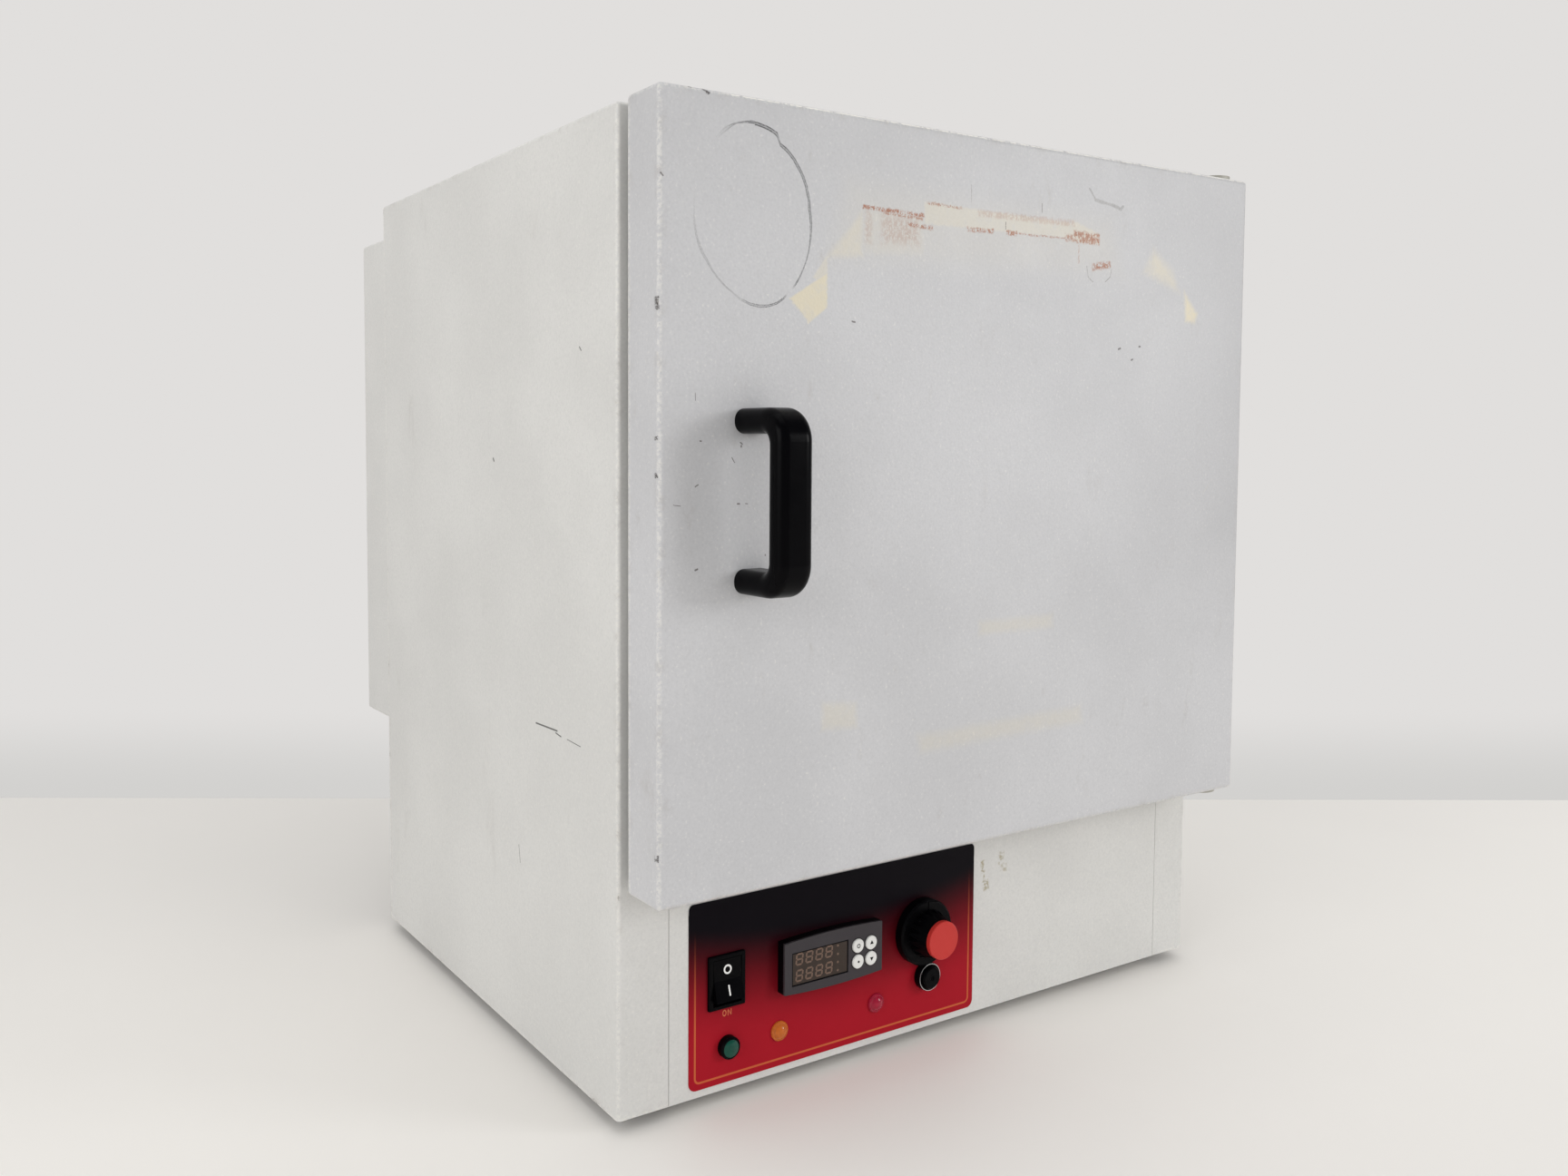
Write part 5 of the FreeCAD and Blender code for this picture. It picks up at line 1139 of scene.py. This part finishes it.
class OVEN_OT_controller(OvenOperator):
    """Finish the temperature controller and add its unlit digits and key symbols"""
    bl_idname = "oven.controller"
    bl_label = "Temperature controller"

    # Places are measured from the middle of the window
    DIGIT_WIDTH = 5.6 * MM
    DIGIT_HEIGHT = 7.5 * MM
    STROKE = 1.1 * MM
    SLANT = 0.10
    # How much shorter a bar is at each end, as a share of its width
    NOTCH = 0.12
    DIGITS_ACROSS = (-15.7 * MM, -8.3 * MM, -0.8 * MM, 6.7 * MM)
    ROWS = (5.7 * MM, -4.3 * MM)
    INDICATOR_ACROSS = 13.5 * MM
    INDICATOR_LEVELS = (8 * MM, 2.8 * MM, -2.2 * MM, -7.3 * MM)
    INDICATOR_RADIUS = 0.75 * MM
    # The keys' symbols: radius, and the ring's hole, the arrows and the dot as shares of it
    SYMBOL_RADIUS = 1.35 * MM
    RING_HOLE = 0.6
    ARROW = 1.15
    DOT = 0.55
    WINDOW_WIDTH = 43 * MM
    WINDOW_HEIGHT = 20.4 * MM
    # Width of the painted shadow in the window's recess and round the keys
    SHADOW_RIM_WIDTH = 0.8 * MM
    KEY_GAP = 0.1 * MM
    KEYS = ("key_1", "key_2", "key_3", "key_4")

    def execute(self, context):
        dress("satin_black", "controller_case")
        dress("controller_grey", "controller_front")
        dress("smoked_window", "display_window")
        dress("key_white", *self.KEYS)
        self.digits()
        self.indicators()
        self.key_symbols()
        self.shadow_lines()
        return {"FINISHED"}

    def shadow_lines(self):
        """Painted shadows: the dark rim of the window's recess and the gap round each key."""
        mesh = bmesh.new()
        rim = self.SHADOW_RIM_WIDTH
        half = Vector((self.WINDOW_WIDTH / 2, self.WINDOW_HEIGHT / 2))
        outer, inner = ([(-x, -y), (x, -y), (x, y), (-x, y)]
                        for x, y in (half, half - Vector((rim, rim))))
        add_prism(mesh, outer, PROUD, upright(front_spot("display_window"), FRONT), inner)
        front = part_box("controller_front")[0].y
        for key in self.KEYS:
            low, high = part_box(key)
            radius = (high.x - low.x) / 2 + self.KEY_GAP
            spot = front_spot(key)
            add_prism(mesh, circle(radius + rim / 2, ROUND), PROUD,
                      upright((spot.x, front, spot.z), FRONT), circle(radius, ROUND))
        add_piece("controller_rims", mesh, stock("satin_black"), "root")

    def slanted(self, points):
        return [(x + y * self.SLANT, y) for x, y in points]

    def digit(self):
        """Seven bars with pointed ends in the shape of an eight, faces up."""
        mesh = bmesh.new()
        wide = self.DIGIT_WIDTH / 2 - self.STROKE / 2
        tall = self.DIGIT_HEIGHT / 2 - self.STROKE / 2
        point = self.STROKE / 2
        gap = self.STROKE * self.NOTCH
        bars = [((-wide, level), (wide, level)) for level in (-tall, 0, tall)]
        bars += [((side, low), (side, low + tall)) for side in (-wide, wide)
                 for low in (-tall, 0)]
        for start, end in bars:
            start, end = Vector(start), Vector(end)
            along = (end - start).normalized()
            out = Vector((-along.y, along.x)) * point
            start += along * gap
            end -= along * gap
            outline = [start, start + along * point - out, end - along * point - out, end,
                       end - along * point + out, start + along * point + out]
            add_prism(mesh, self.slanted([tuple(spot) for spot in outline]), PROUD,
                      Matrix.Identity(4))
        return mesh

    def digits(self):
        points = [(front_spot("display_window", across, level), FRONT)
                  for level in self.ROWS for across in self.DIGITS_ACROSS]
        segment = stock("unlit_segment")
        master = add_piece("digit_master", self.digit(), segment, None)
        # A copy's Z axis is turned to the front by the shortest way, which leaves X to the right
        grow("display_digits", "Copies on points", points, master,
             {"Size": 1.0, "Most turn": 0.0, "Seed": 0, "Finish": segment}, "root")

    def indicators(self):
        mesh = bmesh.new()
        for level in self.INDICATOR_LEVELS:
            spot = front_spot("display_window", self.INDICATOR_ACROSS, level)
            add_prism(mesh, circle(self.INDICATOR_RADIUS, 12), PROUD, upright(spot, FRONT))
        add_piece("display_indicators", mesh, stock("unlit_segment"), "root")

    def key_symbols(self):
        """A ring, an up arrow, a dot and a down arrow, one on each key."""
        radius = self.SYMBOL_RADIUS
        arrow = radius * self.ARROW
        shapes = ((circle(radius, 24), circle(radius * self.RING_HOLE, 24)),
                  (circle(arrow, 3, start=math.pi / 2), None),
                  (circle(radius * self.DOT, 20), None),
                  (circle(arrow, 3, start=-math.pi / 2), None))
        for key, (outline, hole) in zip(self.KEYS, shapes):
            mesh = bmesh.new()
            add_prism(mesh, outline, PROUD, upright(front_spot(key), FRONT), hole)
            add_piece(key + "_symbol", mesh, stock("satin_black"), key)


class OVEN_OT_limit_controls(OvenOperator):
    """Finish the limit knob and the reset button, and add the plated ring on its collar"""
    bl_idname = "oven.limit_controls"
    bl_label = "Limit knob and reset"

    RING_INSET = 0.25 * MM
    RING_WIDTH = 0.35 * MM
    SMOOTH = 48

    def execute(self, context):
        dress("satin_black", "limit_knob", "limit_thermostat", "reset_collar", "reset_button")
        dress("knob_red", "limit_knob_cap")
        low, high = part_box("reset_collar")
        outer = (high.x - low.x) / 2 - self.RING_INSET
        mesh = bmesh.new()
        add_prism(mesh, circle(outer, self.SMOOTH), PROUD, upright(front_spot("reset_collar"), FRONT),
                  circle(outer - self.RING_WIDTH, self.SMOOTH))
        add_piece("reset_bright_ring", mesh, stock("plated"), "root")
        return {"FINISHED"}


class OVEN_OT_inlet(OvenOperator):
    """Finish the mains inlet"""
    bl_idname = "oven.inlet"
    bl_label = "Mains inlet"

    def execute(self, context):
        dress("satin_black", "mains_inlet")
        return {"FINISHED"}


class OVEN_OT_screws(OvenOperator):
    """Add the screws that hold the sheets, brackets and covers"""
    bl_idname = "oven.screws"
    bl_label = "Screws"

    # How far the screws stand from a sheet's edge
    EDGE = 7 * MM
    # The head's outline, as shares of its radius and its height
    PROFILE = ((1, 0), (1, 0.45), (0.86, 0.82), (0.62, 1))
    SIDES = 16
    # The recess: half an arm's width, an arm's reach and the floor, as shares of the same
    ARM_HALF = 0.09
    ARM_REACH = 0.42
    PIT_FLOOR = 0.45
    PANEL_SHARES = (0.03, 0.27, 0.5, 0.73, 0.97)
    BRACKET_SHEET = 3 * MM
    HUB_PITCH = 10.5 * MM

    def head(self, fixings):
        """A pan head with a cross recess, standing on its own origin."""
        mesh = bmesh.new()
        radius = fixings.head_radius
        height = fixings.head_height
        rows = [[mesh.verts.new((x, y, height * rise)) for x, y in circle(radius * size, self.SIDES)]
                for size, rise in self.PROFILE]
        for low_row, high_row in zip(rows, rows[1:]):
            for step in range(self.SIDES):
                follow = (step + 1) % self.SIDES
                mesh.faces.new((low_row[step], low_row[follow], high_row[follow],
                                high_row[step]))
        mesh.faces.new(rows[0][::-1])
        self.recess(mesh, rows[-1], radius, height)
        return mesh

    def recess(self, mesh, rim, radius, height):
        """Close the head's top with a cross-shaped pit."""
        wide = radius * self.ARM_HALF
        far = radius * self.ARM_REACH
        cross = [(far, -wide), (far, wide), (wide, wide), (wide, far), (-wide, far),
                 (-wide, wide), (-far, wide), (-far, -wide), (-wide, -wide), (-wide, -far),
                 (wide, -far), (wide, -wide)]
        top, pit = ([mesh.verts.new((x, y, level)) for x, y in cross]
                    for level in (height, height * self.PIT_FLOOR))
        for step in range(len(cross)):
            follow = (step + 1) % len(cross)
            mesh.faces.new((top[follow], top[step], pit[step], pit[follow]))
        mesh.faces.new(pit)
        edges = [mesh.edges.get((edge[step], edge[(step + 1) % len(edge)]))
                 for edge in (rim, top) for step in range(len(edge))]
        bmesh.ops.triangle_fill(mesh, edges=edges, use_beauty=True, normal=(0, 0, 1))

    def execute(self, context):
        fixings = context.scene.oven_fixings
        zinc = stock("screw_zinc")
        groups = {"root": self.root_points(), "door": self.door_points(),
                  "rotor": self.rotor_points()}
        for body, points in groups.items():
            master = add_piece("head_master", self.head(fixings), zinc, None)
            grow(body + "_screws", "Copies on points", points, master,
                 {"Size": 1.0, "Most turn": math.tau, "Seed": fixings.seed, "Finish": zinc},
                 body)
        return {"FINISHED"}

    def root_points(self):
        edge = self.EDGE
        low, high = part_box("rear_panel")
        points = spread([low.x + (high.x - low.x) * share for share in self.PANEL_SHARES],
                        high.y, (low.z + edge, high.z - edge), BACK)
        low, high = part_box("rear_housing")
        inset = 2 * edge
        # On its top and bottom faces, so that no head stands out of the CAD model's box
        points += [((across, low.y + inset, level), facing)
                   for across in (low.x + inset, (low.x + high.x) / 2, high.x - inset)
                   for level, facing in ((low.z, DOWN), (high.z, UP))]
        low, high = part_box("mains_inlet")
        points += spread((low.x + 0.7 * edge, high.x - 0.7 * edge), high.y,
                         ((low.z + high.z) / 2,), BACK)
        for bracket in ("hinge_bracket_top", "hinge_bracket_bottom"):
            points += self.bracket_points(bracket)
        low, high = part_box("air_baffle")
        points += spread((low.x + edge, high.x - edge), low.y,
                         (low.z + 3 * edge, high.z - 2 * edge), FRONT)
        low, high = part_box("front_frame")
        points += spread((low.x + edge, (low.x + high.x) / 2), low.y,
                         (low.z + edge, high.z - edge), FRONT)
        return points

    def bracket_points(self, bracket):
        """Two screws on the leg that lies on the cabinet's front."""
        low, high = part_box(bracket)
        near, far = 1.3 * self.EDGE, 4 * self.EDGE
        levels = (high.z - near, high.z - far)
        if bracket.endswith("top"):
            levels = (low.z + near, low.z + far)
        return spread((high.x - 2 * self.EDGE,), CASE[0].y - self.BRACKET_SHEET, levels, FRONT)

    def door_points(self):
        low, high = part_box("door_inner_panel")
        left, right = low.x + self.EDGE, high.x - self.EDGE
        points = spread((left, (low.x + high.x) / 2, right), DOOR[1].y,
                        (low.z + self.EDGE, high.z - self.EDGE), BACK)
        return points + spread((left, right), DOOR[1].y, ((low.z + high.z) / 2,), BACK)

    def rotor_points(self):
        """Three screws through the front disc into its hub."""
        spots = circle(self.HUB_PITCH, 3, start=math.pi / 2)
        return [(front_spot("rotor_front_disc", x, z), FRONT) for x, z in spots]


class OVEN_OT_stage(OvenOperator):
    """Set the floor, the soft light and the camera"""
    bl_idname = "oven.stage"
    bl_label = "Stage"

    HALF_FLOOR = 6.0
    # How far behind the bench the painted shade at the backdrop's foot fades into the backdrop's
    # colour
    FOOT_SHADE_DEPTH = 0.5
    # Lamps: the setting of the power, the place, the target and the size
    LAMPS = {"key_light": ("key_power", (1.6, -1.75, 0.80), (0, -0.1, 0.30), 0.7),
             "top_light": ("top_power", (-0.3, -0.5, 2.6), (-0.3, -0.5, 0.0), 1.6),
             "fill_light": ("fill_power", (-2.2, -0.9, 1.0), (-0.1, 0, 0.25), 1.4)}
    SENSOR = 36
    SHIFT = (0.0678, -0.0451)
    NEAREST = 0.01

    def execute(self, context):
        studio = context.scene.oven_studio
        self.floor(studio)
        self.world(context.scene, studio)
        for name, (power, *values) in self.LAMPS.items():
            self.lamp(name, getattr(studio, power), *values)
        self.camera(context.scene, studio)
        context.scene.view_settings.view_transform = "Standard"
        return {"FINISHED"}

    def floor(self, studio):
        size = self.HALF_FLOOR
        mesh = bmesh.new()
        mesh.faces.new([mesh.verts.new(spot) for spot in (
            (-size, -size, 0), (size, -size, 0), (size, size, 0), (-size, size, 0))])
        bench = Finish("bench_top", {"Roughness": 0.55})
        facing = (-math.sin(studio.azimuth), math.cos(studio.azimuth), 0)
        beyond = bench.dot(bench.place, facing)
        far = bench.fade(beyond, studio.bench_edge, studio.bench_edge + 4 * MM)
        bench.start(bench.noise(0.3, 3), studio.floor, 0.975, 1.02)
        bench.cover(linear(studio.wall, 0.93), far)
        # Painted shade at the backdrop's foot, fading into the backdrop behind the bench
        away = bench.fade(beyond, studio.bench_edge, studio.bench_edge + self.FOOT_SHADE_DEPTH)
        glow = bench.step("ShaderNodeEmission", {
            "Color": bench.mix(away, linear(studio.foot), linear(studio.wall))})
        seen = bench.step("ShaderNodeLightPath", {}, "Is Camera Ray")
        mixed = bench.step("ShaderNodeMixShader", {
            0: bench.times(far, seen), 1: bench.shader.outputs[0], 2: glow})
        outlet = bench.tree.nodes["Material Output"]
        bench.tree.links.new(mixed, outlet.inputs["Surface"])
        add_piece("floor", mesh, bench.done(), None)

    def world(self, scene, studio):
        """Soft light from all round, with the backdrop's colour where it is seen."""
        world = bpy.data.worlds.new("studio")
        scene.world = world
        world.use_nodes = True
        steps = Steps(world.node_tree)
        path = world.node_tree.nodes.new("ShaderNodeLightPath").outputs
        seen = steps.calc("MAXIMUM", path["Is Camera Ray"], path["Is Glossy Ray"])
        seen = steps.calc("MAXIMUM", seen, path["Is Transmission Ray"])
        ambient = world.node_tree.nodes["Background"]
        ambient.inputs["Color"].default_value = (1, 1, 1, 1)
        ambient.inputs["Strength"].default_value = studio.ambient
        # What lies in front of the oven is mirrored darker than the wall behind it
        along = steps.split(steps.step("ShaderNodeTexCoord", {}, "Object"))[1]
        front = steps.times(steps.fade(along, 0.3, -0.3), path["Is Glossy Ray"])
        shown = steps.step("ShaderNodeBackground", {
            "Color": steps.mix(front, linear(studio.wall), linear(studio.room)),
            "Strength": 1.0})
        mixed = steps.step("ShaderNodeMixShader", {0: seen, 1: ambient.outputs[0], 2: shown})
        outlet = world.node_tree.nodes["World Output"]
        world.node_tree.links.new(mixed, outlet.inputs["Surface"])

    def lamp(self, name, power, spot, target, size):
        light = bpy.data.lights.new(name, "AREA")
        light.shape = "SQUARE"
        light.size = size
        light.energy = power
        lamp = bpy.data.objects.new(name, light)
        bpy.context.scene.collection.objects.link(lamp)
        aim = Vector(target) - Vector(spot)
        lamp.matrix_world = (Matrix.Translation(spot)
                             @ aim.to_track_quat("-Z", "Y").to_matrix().to_4x4())

    def camera(self, scene, studio):
        data = bpy.data.cameras.new("camera")
        data.sensor_width = self.SENSOR
        data.lens = studio.lens
        data.shift_x, data.shift_y = self.SHIFT
        data.clip_start = self.NEAREST
        camera = bpy.data.objects.new("camera", data)
        scene.collection.objects.link(camera)
        back = Vector((math.sin(studio.azimuth) * math.cos(studio.elevation),
                       -math.cos(studio.azimuth) * math.cos(studio.elevation),
                       math.sin(studio.elevation)))
        turn = (-back).to_track_quat("-Z", "Y").to_matrix().to_4x4()
        roll = Matrix.Rotation(studio.roll, 4, "Z")
        camera.matrix_world = Matrix.Translation(studio.camera) @ turn @ roll
        scene.camera = camera


class OVEN_PT_panel(bpy.types.Panel):
    """The oven's operators and settings in the 3D view's sidebar"""
    bl_idname = "OVEN_PT_panel"
    bl_label = "Bench Oven"
    bl_space_type = "VIEW_3D"
    bl_region_type = "UI"
    bl_category = "Oven"

    def draw(self, context):
        layout = self.layout
        for operator in OPERATORS:
            layout.operator(operator.bl_idname)
        for name in SETTINGS:
            box = layout.box()
            group = getattr(context.scene, name)
            for setting in group.__annotations__:
                box.prop(group, setting)


OPERATORS = (OVEN_OT_cabinet, OVEN_OT_door, OVEN_OT_hinges, OVEN_OT_handle, OVEN_OT_chamber,
             OVEN_OT_drives, OVEN_OT_rotor, OVEN_OT_film, OVEN_OT_switch, OVEN_OT_lamps,
             OVEN_OT_controller, OVEN_OT_limit_controls, OVEN_OT_inlet, OVEN_OT_screws,
             OVEN_OT_stage)
SETTINGS = {"oven_paint": OvenPaint, "oven_print": OvenPrint, "oven_trim": OvenTrim,
            "oven_inside": OvenInside, "oven_fixings": OvenFixings, "oven_studio": OvenStudio}


def register():
    for name, group in SETTINGS.items():
        bpy.utils.register_class(group)
        setattr(bpy.types.Scene, name, bpy.props.PointerProperty(type=group))
    for operator in OPERATORS:
        bpy.utils.register_class(operator)
    bpy.utils.register_class(OVEN_PT_panel)


def unregister():
    bpy.utils.unregister_class(OVEN_PT_panel)
    for operator in reversed(OPERATORS):
        bpy.utils.unregister_class(operator)
    for name, group in SETTINGS.items():
        delattr(bpy.types.Scene, name)
        bpy.utils.unregister_class(group)


def main():
    register()
    for operator in OPERATORS:
        family, name = operator.bl_idname.split(".")
        getattr(getattr(bpy.ops, family), name)()


if __name__ == "__main__":
    main()
